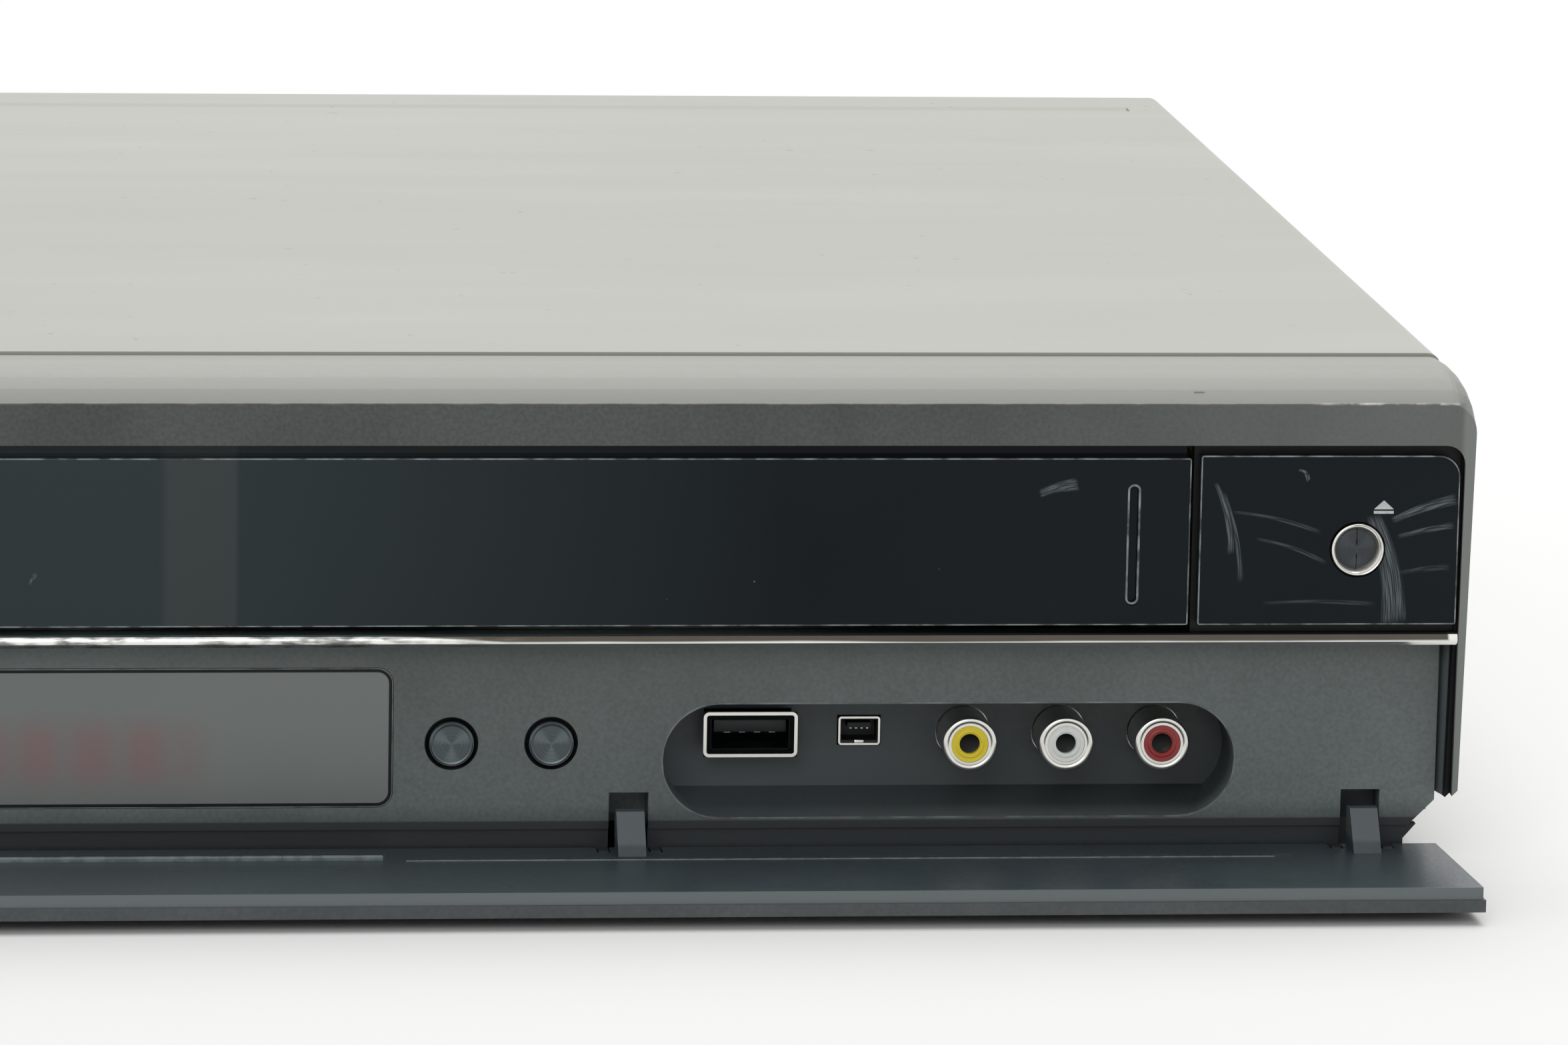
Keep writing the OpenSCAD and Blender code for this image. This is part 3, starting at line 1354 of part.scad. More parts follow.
module fan_frame() {
    y0 = back_y - seat_gap - fan_d;
    color("black") at_face() difference() {
        union() {
            difference() {
                block([fan_x - fan_w / 2, y0, fan_z - fan_w / 2], [fan_x + fan_w / 2, y0 + fan_d, fan_z + fan_w / 2]);
                rod(fan_x, fan_z, fan_w / 2 - 1.2, y0 - 1, y0 + fan_d + 1);
            }
            rod(fan_x, fan_z, 9, y0 + 0.2, y0 + 2);
            for (a = [30, 150, 270])
                translate([fan_x, y0 + 0.2, fan_z]) rotate([0, a, 0]) block([0, 0, -1.2], [fan_w / 2 - 1, 1.6, 1.2]);
        }
        for (s = [-1, 1], t = [-1, 1])
            rod(fan_x + s * 16, fan_z + t * 16, 1.7, y0 - 1, y0 + fan_d + 1);
        rod(fan_x, fan_z, 1.5 + run_fit, y0 - 1, y0 + 3);
    }
}

module fan_rotor() {
    y0 = back_y - seat_gap - fan_d;
    color("dimgray") at_face() {
        rod(fan_x, fan_z, 1.5, y0 + 0.4, y0 + 3);
        rod(fan_x, fan_z, 9, y0 + 2.3, y0 + 9);
        for (i = [0:6])
            translate([fan_x, y0 + 5.6, fan_z]) rotate([0, i * 360 / 7, 0]) rotate([40, 0, 0])
                block([8.5, -3.6, -0.5], [fan_w / 2 - 2.4, 3.6, 0.5]);
    }
}

base_chassis();
top_cover();
rear_panel();
cover_screws();
feet();
front_bezel();
control_panel();
chrome_trim();
power_block();
eject_block();
display_window();
display_tube();
front_board();
front_jack_shells();
video_jack_insert();
left_audio_jack_insert();
right_audio_jack_insert();
usb_port();
dv_port();
hinge_pins();
flap_panel();
flap_skin();
power_button();
eject_button();
source_button();
resolution_button();
record_button();
stop_button();
play_button();
pause_button();
tray_front();
disc_tray();
tray_gear();
drive_frame();
traverse();
optical_sled();
turntable();
clamp_bridge();
clamp_puck();
vcr_door();
deck_chassis();
cassette_brackets();
basket_slider();
cassette_basket();
drum_base();
head_drum();
capstan();
pinch_arm();
pinch_roller();
supply_reel();
takeup_reel();
tape_posts();
main_board();
power_board();
rear_jack_block();
rear_jack_shells();
tuner_box();
power_inlet();
fan_frame();
fan_rotor();
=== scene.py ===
"""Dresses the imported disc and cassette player: finishes, small turned and trimmed pieces, studio, camera."""

import math

import bmesh
import bpy
from mathutils import Matrix, Vector


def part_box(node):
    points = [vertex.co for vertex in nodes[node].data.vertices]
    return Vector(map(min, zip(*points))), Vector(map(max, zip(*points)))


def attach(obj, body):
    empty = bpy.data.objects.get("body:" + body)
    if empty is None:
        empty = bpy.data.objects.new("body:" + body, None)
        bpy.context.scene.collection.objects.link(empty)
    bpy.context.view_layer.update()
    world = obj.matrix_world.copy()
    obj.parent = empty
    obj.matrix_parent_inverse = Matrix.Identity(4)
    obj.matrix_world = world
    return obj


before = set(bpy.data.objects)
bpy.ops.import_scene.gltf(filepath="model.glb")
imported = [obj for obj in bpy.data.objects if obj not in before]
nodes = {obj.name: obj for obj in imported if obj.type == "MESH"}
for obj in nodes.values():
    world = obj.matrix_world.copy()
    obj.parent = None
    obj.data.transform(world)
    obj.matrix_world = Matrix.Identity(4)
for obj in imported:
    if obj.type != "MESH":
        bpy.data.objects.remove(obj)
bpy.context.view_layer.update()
scene = bpy.context.scene
MM = 0.001


def reach(node):
    """Lowest and highest corner of a CAD node, in mm."""
    low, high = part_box(node)
    return Vector(low) / MM, Vector(high) / MM


def centre(node):
    """Middle of a CAD node's box, in mm."""
    low, high = reach(node)
    return (low + high) / 2


# the unit's face, from which depths are counted, and the parts that the trim follows
FACE = reach("vcr_door")[0].y
PANEL_Y = FACE + 5
EJECT = centre("eject_button")
WINDOW = reach("display_window")
USB = centre("usb_port")
CAMERA_SOCKET = reach("dv_port")
PHONO_SHELLS = reach("front_jack_shells")
PHONO_RADIUS = 4.15
FLAP = reach("flap_panel")
# corners of the panel's recess for the sockets
RECESS_LOW, RECESS_HIGH = Vector((90.9, 0, 8.8)), Vector((179.6, 0, 26.6))
# pitch of the display's digits and of the boards' copper tracks
DIGIT_PITCH, TRACK_PITCH = 8.1, 4.2

# lines of the front that the finishes follow: foot of the band over the doors and the sharp edge at its top,
# inner side of the cheeks, sill below the doors, underside of the strip, the fold above the flap's hinge, and
# the height over which only the flap's arms stand
BAND_FOOT, BAND_TOP = 68.1, 74.4
CHEEK_X = 213.6
SILL_Z, STRIP_FOOT, FOLD_Z, ARMS_Z = 39.8, 36.4, 8.2, 6.4
# the strip is scuffed left of this place, where its painted bright reflection also climbs, and its painted
# dark reflection begins between these heights
SCUFF_AND_REFLECTION_X, BORDER_LOW, BORDER_HIGH = 46, 37.85, 38.95


# ---- Materials ----


def linear(code):
    """Linear colour of an sRGB hex value."""
    steps = [int(code[i : i + 2], 16) / 255 for i in (0, 2, 4)]
    return (*(c / 12.92 if c <= 0.04045 else ((c + 0.055) / 1.055) ** 2.4 for c in steps), 1)


def add(tree, kind, inputs=(), **settings):
    """Adds a shader node with its settings, values and links."""
    node = tree.nodes.new("ShaderNode" + kind)
    for key, value in settings.items():
        setattr(node, key, value)
    for key, value in dict(inputs).items():
        if isinstance(value, bpy.types.NodeSocket):
            tree.links.new(value, node.inputs[key])
        else:
            node.inputs[key].default_value = value
    return node


def surface(name, **sockets):
    """New material with one Principled shader: the material, its tree, its shader and object coordinates."""
    material = bpy.data.materials.new(name)
    material.use_nodes = True
    tree = material.node_tree
    tree.nodes.clear()
    shader = add(tree, "BsdfPrincipled", {key.replace("_", " "): value for key, value in sockets.items()})
    add(tree, "OutputMaterial", {"Surface": shader.outputs[0]})
    return material, tree, shader, add(tree, "TexCoord").outputs["Object"]


def wire(tree, shader, **sockets):
    """Links what varies over a surface to its shader."""
    for key, value in sockets.items():
        tree.links.new(value, shader.inputs[key.replace("_", " ")])


def painted(shader):
    """What the shader's colour comes from so far."""
    return shader.inputs["Base Color"].links[0].from_socket


def parts(tree, vector):
    """The three parts of a vector."""
    return add(tree, "SeparateXYZ", {"Vector": vector}).outputs


def calc(tree, operation, *values):
    """One step of arithmetic."""
    return add(tree, "Math", dict(enumerate(values)), operation=operation).outputs[0]


def times(tree, product, *others):
    """Product of several values."""
    for other in others:
        product = calc(tree, "MULTIPLY", product, other)
    return product


def vector_calc(tree, operation, first, second, output=0):
    """One step of arithmetic on vectors or colours."""
    return add(tree, "VectorMath", {0: first, 1: second}, operation=operation).outputs[output]


def ramp(tree, value, start, end, low=0, high=1, **settings):
    """Stretches start to end into low to high, and holds the value beyond them."""
    return add(tree, "MapRange", {"Value": value, 1: start, 2: end, 3: low, 4: high}, **settings).outputs[0]


def fade(tree, place, start, end, low=0, high=1, **settings):
    """Ramp over a length, from start to end in mm."""
    return ramp(tree, place, start * MM, end * MM, low, high, **settings)


def mix(tree, share, first, second):
    """Colour between two, each an sRGB hex value or a socket."""
    first, second = (linear(colour) if isinstance(colour, str) else colour for colour in (first, second))
    return add(tree, "Mix", {0: share, 6: first, 7: second}, data_type="RGBA").outputs[2]


def grit(size):
    """Noise scale whose grains are about this many millimetres across."""
    return 0.55 / (size * MM)


def noise(tree, place, size, detail):
    """Noise with grains of a size in mm."""
    return add(tree, "TexNoise", {"Vector": place, "Scale": grit(size), "Detail": detail}).outputs[0]


def stretched(tree, place, scale):
    """Coordinates in which a pattern comes out longer where the scale is small."""
    return add(tree, "Mapping", {"Vector": place, "Scale": scale}).outputs[0]


def relief(tree, height, strength, depth):
    """Bump of a depth in mm."""
    return add(tree, "Bump", {"Height": height, "Strength": strength, "Distance": depth * MM}).outputs[0]


def moulded_abs(name, dark, light, rough, level=0.5, grain=0.3):
    """Spark-eroded ABS: a fine even grain that spreads highlights, and slow clouding from the mould."""
    material, tree, shader, place = surface(name, Specular_IOR_Level=level)
    cloud = ramp(tree, noise(tree, place, 12, 4), 0.38, 0.62)
    speck = noise(tree, place, 0.35, 2)
    fleck = ramp(tree, speck, 0.3, 0.7, 0.86, 1.14)
    wire(tree, shader,
         Base_Color=vector_calc(tree, "MULTIPLY", mix(tree, cloud, dark, light), fleck),
         Roughness=ramp(tree, speck, 0.3, 0.7, rough - 0.04, rough + 0.05),
         Normal=relief(tree, speck, grain, 0.03))
    return material, tree, shader, place


def stove_enamel():
    """Satin enamel on folded steel: orange peel, dust nibs, a few rubbed marks and grey specks."""
    material, tree, shader, place = surface("stove_enamel", Specular_IOR_Level=0.6)
    base = mix(tree, noise(tree, place, 90, 3), "9B9B92", "A7A7A0")
    speck = ramp(tree, noise(tree, place, 1.6, 1), 0.775, 0.80, 0, 0.35)
    # rubbed marks run from side to side
    rub = noise(tree, stretched(tree, place, (0.35, 1.6, 1)), 26, 7)
    wire(tree, shader,
         Base_Color=mix(tree, speck, base, "4E4E4B"),
         Roughness=ramp(tree, rub, 0.35, 0.75, 0.41, 0.30),
         Normal=relief(tree, noise(tree, place, 0.5, 2), 0.3, 0.03))
    return material


def bezel_abs():
    """The bezel's satin ABS: painted light above its sharp front edge and towards its ends, painted black
    inside the opening as painted shade.
    """
    material, tree, shader, place = moulded_abs("bezel_abs", "4B4F4D", "535755", 0.38, 0.22)
    x, y, z = parts(tree, place)
    end = calc(tree, "ABSOLUTE", x)
    # painted light: above the sharp edge the moulding is painted pale like the lit cover, where it faces up
    # into the light, and darker towards the edge
    painted_brow_light = mix(tree, fade(tree, z, BAND_TOP, BAND_TOP + 5), "858681", "A4A49E")
    # painted light: the front is painted paler towards its ends, most on the narrow cheeks beside the opening
    end_light = fade(tree, end, 130, CHEEK_X - 1.1, 0, 0.45)
    cheek_light = fade(tree, end, CHEEK_X - 1, CHEEK_X, 0, 0.75)
    band = mix(tree, calc(tree, "ADD", end_light, cheek_light), painted(shader), "7E827F")
    plain = mix(tree, fade(tree, z, BAND_TOP - 0.25, BAND_TOP), band, painted_brow_light)
    # painted shade: inside of the opening, deeper than the front face, below the band and between the cheeks,
    # the plastic is painted black
    inside = times(tree, fade(tree, y, FACE + 0.5, FACE + 1), fade(tree, z, BAND_FOOT, BAND_FOOT - 0.5),
                   fade(tree, end, CHEEK_X + 0.3, CHEEK_X))
    # the painted shade is paler on the sill below the doors, most towards the middle of the unit
    pale_sill = times(tree, fade(tree, z, SILL_Z + 0.4, SILL_Z), fade(tree, end, 160, 20))
    shaded_cavity = mix(tree, pale_sill, "0B0C0D", "4C5D60")
    # painted highlight: below the strip the cheeks' inner sides are painted pale, behind a front corner left
    # in painted shade
    cheek_inner_highlight = times(tree, fade(tree, z, STRIP_FOOT + 0.2, STRIP_FOOT), fade(tree, y, FACE + 3.2, FACE + 3.8))
    shaded = mix(tree, inside, plain, mix(tree, cheek_inner_highlight, shaded_cavity, "6A7173"))
    # pale line along the sharp edge, broken up, and strongest near the right corner: partly wear, partly a
    # painted highlight where the edge's small rounding would catch the light
    height = calc(tree, "ABSOLUTE", calc(tree, "SUBTRACT", z, (BAND_TOP - 0.15) * MM))
    broken = ramp(tree, noise(tree, place, 2.2, 5), 0.42, 0.6)
    worn_and_highlit = times(tree, fade(tree, height, 0.22, 0.08), fade(tree, y, FACE + 0.7, FACE + 0.3), broken,
                 fade(tree, x, 186, 196, 0.12, 0.9))
    wire(tree, shader, Base_Color=mix(tree, worn_and_highlit, shaded, "D5D6D0"))
    return material


def panel_abs():
    """The control panel's ABS: painted light on its front, painted shade in its fold and in the recess for the
    sockets.
    """
    material, tree, shader, place = moulded_abs("panel_abs", "505756", "585F5E", 0.42, 0.5)
    x, y, z = parts(tree, place)
    # painted shade: deeper than the panel's face, the recess for the sockets is painted darker
    inside = times(tree, fade(tree, y, PANEL_Y + 0.3, PANEL_Y + 5),
                   fade(tree, x, RECESS_LOW.x - 3, RECESS_LOW.x - 2))
    # painted light lightens the foot and the two ends, and painted shade darkens the fold
    aside = calc(tree, "ABSOLUTE", calc(tree, "SUBTRACT", x, 80 * MM))
    painted_light = times(tree, fade(tree, z, 12, 36, 1.4, 0.92), fade(tree, aside, 30, 110, 1, 1.22))
    lit_front = vector_calc(tree, "MULTIPLY", painted(shader), painted_light)
    front = mix(tree, fade(tree, z, FOLD_Z + 2.8, FOLD_Z + 0.4, 0, 0.4), lit_front, "2E3437")
    front = mix(tree, fade(tree, z, FOLD_Z + 0.3, FOLD_Z), front, "262B2D")
    # painted shade: the recess is darker towards its right end
    depth = mix(tree, fade(tree, x, RECESS_LOW.x, RECESS_HIGH.x - 25), "4B5356", "343B3D")
    wire(tree, shader, Base_Color=mix(tree, inside, front, depth))
    return material


def flap_abs():
    """The flap's ABS: dark and shiny on its inner face, with painted light on its arms and along its lip."""
    material, tree, shader, place = moulded_abs("flap_abs", "2F393E", "374146", 0.34, 0.5)
    x, y, z = parts(tree, place)
    lip_y = FLAP[0].y
    # it is paler towards the left
    tone = mix(tree, fade(tree, x, 100, -50, 0, 0.6), painted(shader), "475154")
    # painted light: the arms stand up into the light and are painted lighter
    tone = mix(tree, fade(tree, z, ARMS_Z - 0.6, ARMS_Z), tone, "535C5F")
    # painted light: the lip, facing forward into the light, is painted lighter
    wire(tree, shader, Base_Color=mix(tree, fade(tree, y, lip_y + 0.5, lip_y + 0.15), tone, "62696B"))
    return material


def scuff(tree, place, start, end, width, bend, hairs):
    """Bundle of hair scratches along a line on the face, from start to end in mm, a little curved."""
    start, end = (Vector((x, 0, z)) for x, z in (start, end))
    run = end - start
    moved = vector_calc(tree, "SUBTRACT", place, (start + end) / 2 * MM)
    laid = add(tree, "VectorRotate", {"Vector": moved, "Axis": (0, 1, 0), "Angle": math.atan2(run.z, run.x)})
    x, _, z = parts(tree, laid.outputs[0])
    along = calc(tree, "MULTIPLY", x, 2 / (run.length * MM))
    square = calc(tree, "MULTIPLY", along, along)
    # a third is the mean of the square, so the curve stays on the line
    across = calc(tree, "MULTIPLY_ADD", calc(tree, "SUBTRACT", square, 0.33), bend * MM, z)
    # the bundle is narrow where it starts and fans out
    fan = ramp(tree, along, -1, 1, 0.7 * width * MM, 1.25 * width * MM)
    spread = calc(tree, "DIVIDE", across, fan)
    belt = ramp(tree, calc(tree, "ABSOLUTE", spread), 1, 0.6)
    lanes = add(tree, "CombineXYZ", {"X": calc(tree, "MULTIPLY", spread, hairs), "Y": along}).outputs[0]
    hair = add(tree, "TexNoise", {"Vector": lanes, "Scale": 1.3, "Detail": 2}).outputs[0]
    return times(tree, ramp(tree, hair, 0.46, 0.66, 0.14, 1), belt, ramp(tree, square, 1, 0.72))


def gloss_abs(name, marks, wiped_band=None):
    """Piano-black ABS: almost a mirror, with wiping smears, grains of dust and scuffs that fingers leave."""
    material, tree, shader, place = surface(name, Specular_IOR_Level=0.1)
    smear = noise(tree, place, 16, 3)
    colour = mix(tree, smear, "10171B", "161E23")
    if wiped_band:
        # a film of dust lifts the black towards the unit's middle, with one upright wiped band in it
        left, right = wiped_band
        x = parts(tree, place)["X"]
        colour = mix(tree, fade(tree, x, 4.2 * right, left, 0, 0.75), colour, "394346")
        band = times(tree, fade(tree, x, left, left + 1.5), fade(tree, x, right, right - 0.8, 0, 0.7))
        colour = mix(tree, band, colour, "434847")
    # dust: in some cells of 7 mm a grain of a fifth of a millimetre
    cells = add(tree, "TexVoronoi", {"Vector": place, "Scale": 1 / (7 * MM), "Randomness": 1}).outputs
    chosen = calc(tree, "GREATER_THAN", parts(tree, cells["Color"])[0], 0.6)
    wear = times(tree, ramp(tree, cells["Distance"], 0.022, 0.012, 0, 0.4), chosen)
    for *line, strength in marks:
        wear = calc(tree, "MAXIMUM", wear, times(tree, scuff(tree, place, *line), strength))
    wire(tree, shader,
         Base_Color=mix(tree, wear, colour, "A6B0B2"),
         Roughness=ramp(tree, wear, 0, 1, 0.06, 0.5),
         Normal=relief(tree, smear, 0.04, 0.2))
    return material


def chrome_plate():
    """Chrome on plastic: a mirror with a painted reflection, dark above a wavy border and bright below it,
    with short scuffs on its left half.
    """
    material, tree, shader, place = surface("chrome_plate", Metallic=1.0)
    drawn = stretched(tree, place, (0.25, 1, 1))
    stroke = noise(tree, drawn, 0.6, 5)
    x, _, z = parts(tree, place)
    scuffed = times(tree, ramp(tree, stroke, 0.4, 0.62), fade(tree, x, SCUFF_AND_REFLECTION_X + 26, SCUFF_AND_REFLECTION_X, 0.08, 0.95))
    # painted reflection: below the border and at its right tip the strip is painted bright, above it painted
    # dark, and the border climbs on the left
    waved = calc(tree, "MULTIPLY_ADD", noise(tree, drawn, 7, 3), 0.9 * MM, z)
    border = fade(tree, x, SCUFF_AND_REFLECTION_X + 20, SCUFF_AND_REFLECTION_X, BORDER_LOW * MM, BORDER_HIGH * MM)
    bright_reflection = fade(tree, calc(tree, "SUBTRACT", border, waved), -0.12, 0.16)
    tip = reach("chrome_trim")[1].x
    bright_reflection = calc(tree, "MAXIMUM", bright_reflection, fade(tree, x, tip - 1.6, tip - 1.2))
    wire(tree, shader,
         Base_Color=mix(tree, scuffed, mix(tree, bright_reflection, "57524A", "EDEDE8"), "6F706C"),
         Roughness=ramp(tree, scuffed, 0, 1, 0.09, 0.4),
         Normal=relief(tree, stroke, 0.35, 0.05))
    return material


def nickel_plate(name, shade_from_depth=None):
    """Nickel on brass or steel: warm white metal with faint tumbling marks, painted black past a given depth
    as painted shade.
    """
    material, tree, shader, place = surface(name, Metallic=1.0)
    marks = noise(tree, place, 1.2, 4)
    colour = mix(tree, marks, "C9C7C0", "ECEBE6")
    if shade_from_depth is not None:
        y = parts(tree, place)["Y"]
        colour = mix(tree, fade(tree, y, shade_from_depth, shade_from_depth + 0.15), colour, "0C0E0F")
    wire(tree, shader, Base_Color=colour, Roughness=ramp(tree, marks, 0.3, 0.7, 0.14, 0.26))
    return material


def spun_metal(name, bright, dark, at, metallic=0.6, rough=0.3):
    """Turned metal: fine rings round the point at, in mm, with three soft fans of painted highlight in the
    colour.
    """
    material, tree, shader, place = surface(name, Metallic=metallic, Anisotropic=0.5)
    x, _, z = parts(tree, vector_calc(tree, "SUBTRACT", place, (at.x * MM, 0, at.z * MM)))
    flat = add(tree, "CombineXYZ", {"X": x, "Z": z}).outputs[0]
    radius = add(tree, "VectorMath", {0: flat}, operation="LENGTH").outputs["Value"]
    # rings of an eighth of a millimetre, coarser than a real tool mark, so that they show
    rings = add(tree, "TexNoise", {"W": radius, "Scale": grit(0.12), "Detail": 2}, noise_dimensions="1D")
    rings = rings.outputs[0]
    # painted highlight: the fans are painted where the rings would run across the light
    fan = calc(tree, "SINE", calc(tree, "MULTIPLY", calc(tree, "ARCTAN2", z, x), 3))
    light = ramp(tree, fan, -0.2, 1, 0, 0.26)
    wire(tree, shader,
         Base_Color=mix(tree, calc(tree, "MULTIPLY_ADD", rings, 0.55, light), dark, bright),
         Roughness=ramp(tree, rings, 0.3, 0.7, rough - 0.06, rough + 0.06),
         Normal=relief(tree, rings, 0.3, 0.02))
    return material


def galvanised_steel():
    """Zinc-coated sheet: a pale grey patchwork of crystals, each a little different in tone and gloss."""
    material, tree, shader, place = surface("galvanised_steel", Metallic=1.0)
    crystal = add(tree, "TexVoronoi", {"Vector": place, "Scale": grit(1.6)}).outputs
    wire(tree, shader,
         Base_Color=mix(tree, crystal["Color"], "A6A9AA", "B9BBBA"),
         Roughness=ramp(tree, crystal["Distance"], 0, 0.8, 0.32, 0.46))
    return material


def polished_plastic(name, colour, deep, rough=0.22):
    """Polished insert: a clear strong colour, a little deeper in places, that light enters slightly."""
    material, tree, shader, place = surface(name, Subsurface_Weight=0.05, Subsurface_Scale=MM)
    swirl = noise(tree, place, 2, 3)
    wire(tree, shader,
         Base_Color=mix(tree, swirl, colour, deep),
         Roughness=ramp(tree, swirl, 0.3, 0.7, rough - 0.04, rough + 0.06))
    return material


def smoked_acrylic():
    """Display window: hazy smoked acrylic, with a painted glow: the faint red of lit digits deep behind it,
    painted into its colour.
    """
    low, high = WINDOW
    material, tree, shader, place = surface(
        "smoked_acrylic", Specular_IOR_Level=0.55, Coat_Weight=0.15, Coat_Roughness=0.1)
    haze = noise(tree, place, 14, 3)
    x, _, z = parts(tree, place)
    soft = {"interpolation_type": "SMOOTHSTEP"}
    # painted glow: digits a pitch apart, painted as soft blots of light, blurred as by the acrylic
    cell = calc(tree, "FRACT", calc(tree, "MULTIPLY_ADD", x, 1 / (DIGIT_PITCH * MM), 0.06))
    aside = calc(tree, "ABSOLUTE", calc(tree, "SUBTRACT", cell, 0.5))
    height = calc(tree, "SUBTRACT", z, (low.z + 0.4 * (high.z - low.z)) * MM)
    height = calc(tree, "ABSOLUTE", height)
    painted_glow = times(tree, ramp(tree, aside, 0.5, 0.12, 0.45, 1, **soft), fade(tree, height, 7.5, 1.5, **soft),
                 fade(tree, x, 24, 13, **soft), 0.55)
    wire(tree, shader,
         Base_Color=mix(tree, painted_glow, mix(tree, haze, "6B7271", "757A77"), "86595A"),
         Roughness=ramp(tree, haze, 0.1, 0.9, 0.24, 0.36))
    return material


def lacquered_board(name, dark, light, copper):
    """Printed circuit board: solder lacquer over copper tracks that run in rows."""
    material, tree, shader, place = surface(name)
    tracks = add(tree, "TexBrick", {
        "Vector": place, "Scale": 0.5 / (TRACK_PITCH * MM), "Mortar Size": 0.06,
        "Color1": linear(dark), "Color2": linear(light), "Mortar": linear(copper)})
    wire(tree, shader,
         Base_Color=tracks.outputs[0],
         Roughness=ramp(tree, noise(tree, place, 8, 3), 0.3, 0.7, 0.28, 0.42))
    return material


def patchy_edge(name, pale, dark, size=1.8, level=0.5):
    """Edge of black plastic in broken lengths between a dark and a pale colour: rubbed dull and pale by hands
    and cloths, and on pale edges also a painted highlight.
    """
    material, tree, shader, place = surface(name, Specular_IOR_Level=level)
    wear = ramp(tree, noise(tree, place, size, 4), 0.4, 0.6)
    wire(tree, shader, Base_Color=mix(tree, wear, dark, pale), Roughness=ramp(tree, wear, 0, 1, 0.25, 0.5))
    return material


# scuffs round the eject button: start, end, half width, bend, strands and strength, in mm from its middle
EJECT_SCUFFS = [
    ((2.9, 5.6), (6.6, -11.6), 1.75, 1.0, 9, 0.42),
    ((5.1, 4.7), (15.2, 8.1), 0.75, 0.3, 3, 0.42),
    ((6.1, 2.1), (15.0, 3.9), 0.5, 0.2, 2, 0.3),
    ((6.4, -3.6), (14.6, -2.6), 0.5, 0.2, 2, 0.13),
    ((-21.9, 10.6), (-19.2, -0.6), 0.5, 0.7, 2.5, 0.45),
    ((-20.6, 9.1), (-17.6, -5.0), 0.4, 0.7, 2, 0.3),
    ((-19.6, 6.2), (-5.6, 3.0), 0.35, 0.5, 1.5, 0.2),
    ((-15.8, 2.0), (-4.6, -1.8), 0.35, 0.5, 1.5, 0.2),
    ((-14.6, -8.2), (3.1, -8.3), 0.35, 0.3, 1.5, 0.16),
    ((-9.3, 12.7), (-7.7, 10.9), 0.35, 0.5, 1, 0.45),
]
# the same for the power block and the doors, in mm from the unit's middle, and the doors' wiped band
POWER_SCUFFS = [((-189, 60), (-181, 50), 0.6, 0.5, 3, 0.2)]
DOOR_SCUFFS = [((147.5, 60.5), (153.5, 62.0), 0.9, 0.3, 5, 0.4), ((-6, 46.5), (-5, 48.2), 0.3, 0.1, 1, 0.3)]
WIPED_BAND = (13.5, 25.7)

cover_enamel = stove_enamel()
bezel_plastic = bezel_abs()
eject_gloss = gloss_abs("scuffed_gloss_abs", [
    ((EJECT.x + a, EJECT.z + b), (EJECT.x + c, EJECT.z + d), *rest)
    for (a, b), (c, d), *rest in EJECT_SCUFFS])
plain_gloss = gloss_abs("gloss_abs", POWER_SCUFFS)
door_gloss = gloss_abs("door_gloss_abs", DOOR_SCUFFS, WIPED_BAND)
bright_chrome = chrome_plate()
nickel = nickel_plate("nickel_plate")
# inside the USB socket the steel is painted black past a depth, as painted shade
socket_steel = nickel_plate("socket_steel", FACE + 11.8)
steel = galvanised_steel()
panel_plastic = panel_abs()
flap_plastic = flap_abs()
skin_plastic = moulded_abs("skin_abs", "3F4445", "484C4D", 0.42, 0.5)[0]
inner_plastic = moulded_abs("inner_abs", "15171A", "1D1F21", 0.5, 0.4)[0]
tray_plastic = moulded_abs("tray_abs", "25272A", "2D2F31", 0.42, 0.5)[0]
pale_acetal = moulded_abs("acetal", "D2CFC2", "DEDBD0", 0.4, 0.5, 0.15)[0]
foot_plastic = moulded_abs("foot_abs", "1A1B1D", "242627", 0.55, 0.4)[0]
nitrile_rubber = moulded_abs("nitrile_rubber", "19191B", "232324", 0.72, 0.35)[0]
drum_alloy = spun_metal("drum_alloy", "C4C6C7", "A0A3A6", centre("head_drum"), 0.9, 0.24)
tube_glass = polished_plastic("tube_glass", "17211F", "1D2A28", 0.12)
yellow = polished_plastic("yellow_styrene", "F8E636", "EFD21C")
white = polished_plastic("white_styrene", "F8FAF6", "ECEFEA")
red = polished_plastic("red_styrene", "A63030", "922626")
green = polished_plastic("green_styrene", "1F7A3C", "1A6A34")
blue = polished_plastic("blue_styrene", "22489A", "1C3D86")
window_acrylic = smoked_acrylic()
green_board = lacquered_board("green_laminate", "14502F", "17593A", "1E6B45")
tan_board = lacquered_board("tan_laminate", "8A6237", "93693C", "A87B47")
# the pale edges are partly wear, partly painted highlight along edges that catch the light
edge_wear_and_highlight = patchy_edge("rubbed_edge_abs", "899294", "363C3F")
faint_wear_and_highlight = patchy_edge("faint_highlit_edge_abs", "7A8284", "555C5E", 2.6)
ridge_wear_and_highlight = patchy_edge("worn_ridge_abs", "7C8689", "656F72", 1.2)
joint_and_shade_black = patchy_edge("shadowed_joint_abs", "121415", "0B0D0E", 3.0, 0.2)
print_ink = patchy_edge("grey_print_ink", "C4C8C8", "B4B8B8", 0.7)
contact_metal = nickel_plate("contact_plate")
button_chrome = nickel_plate("button_chrome")

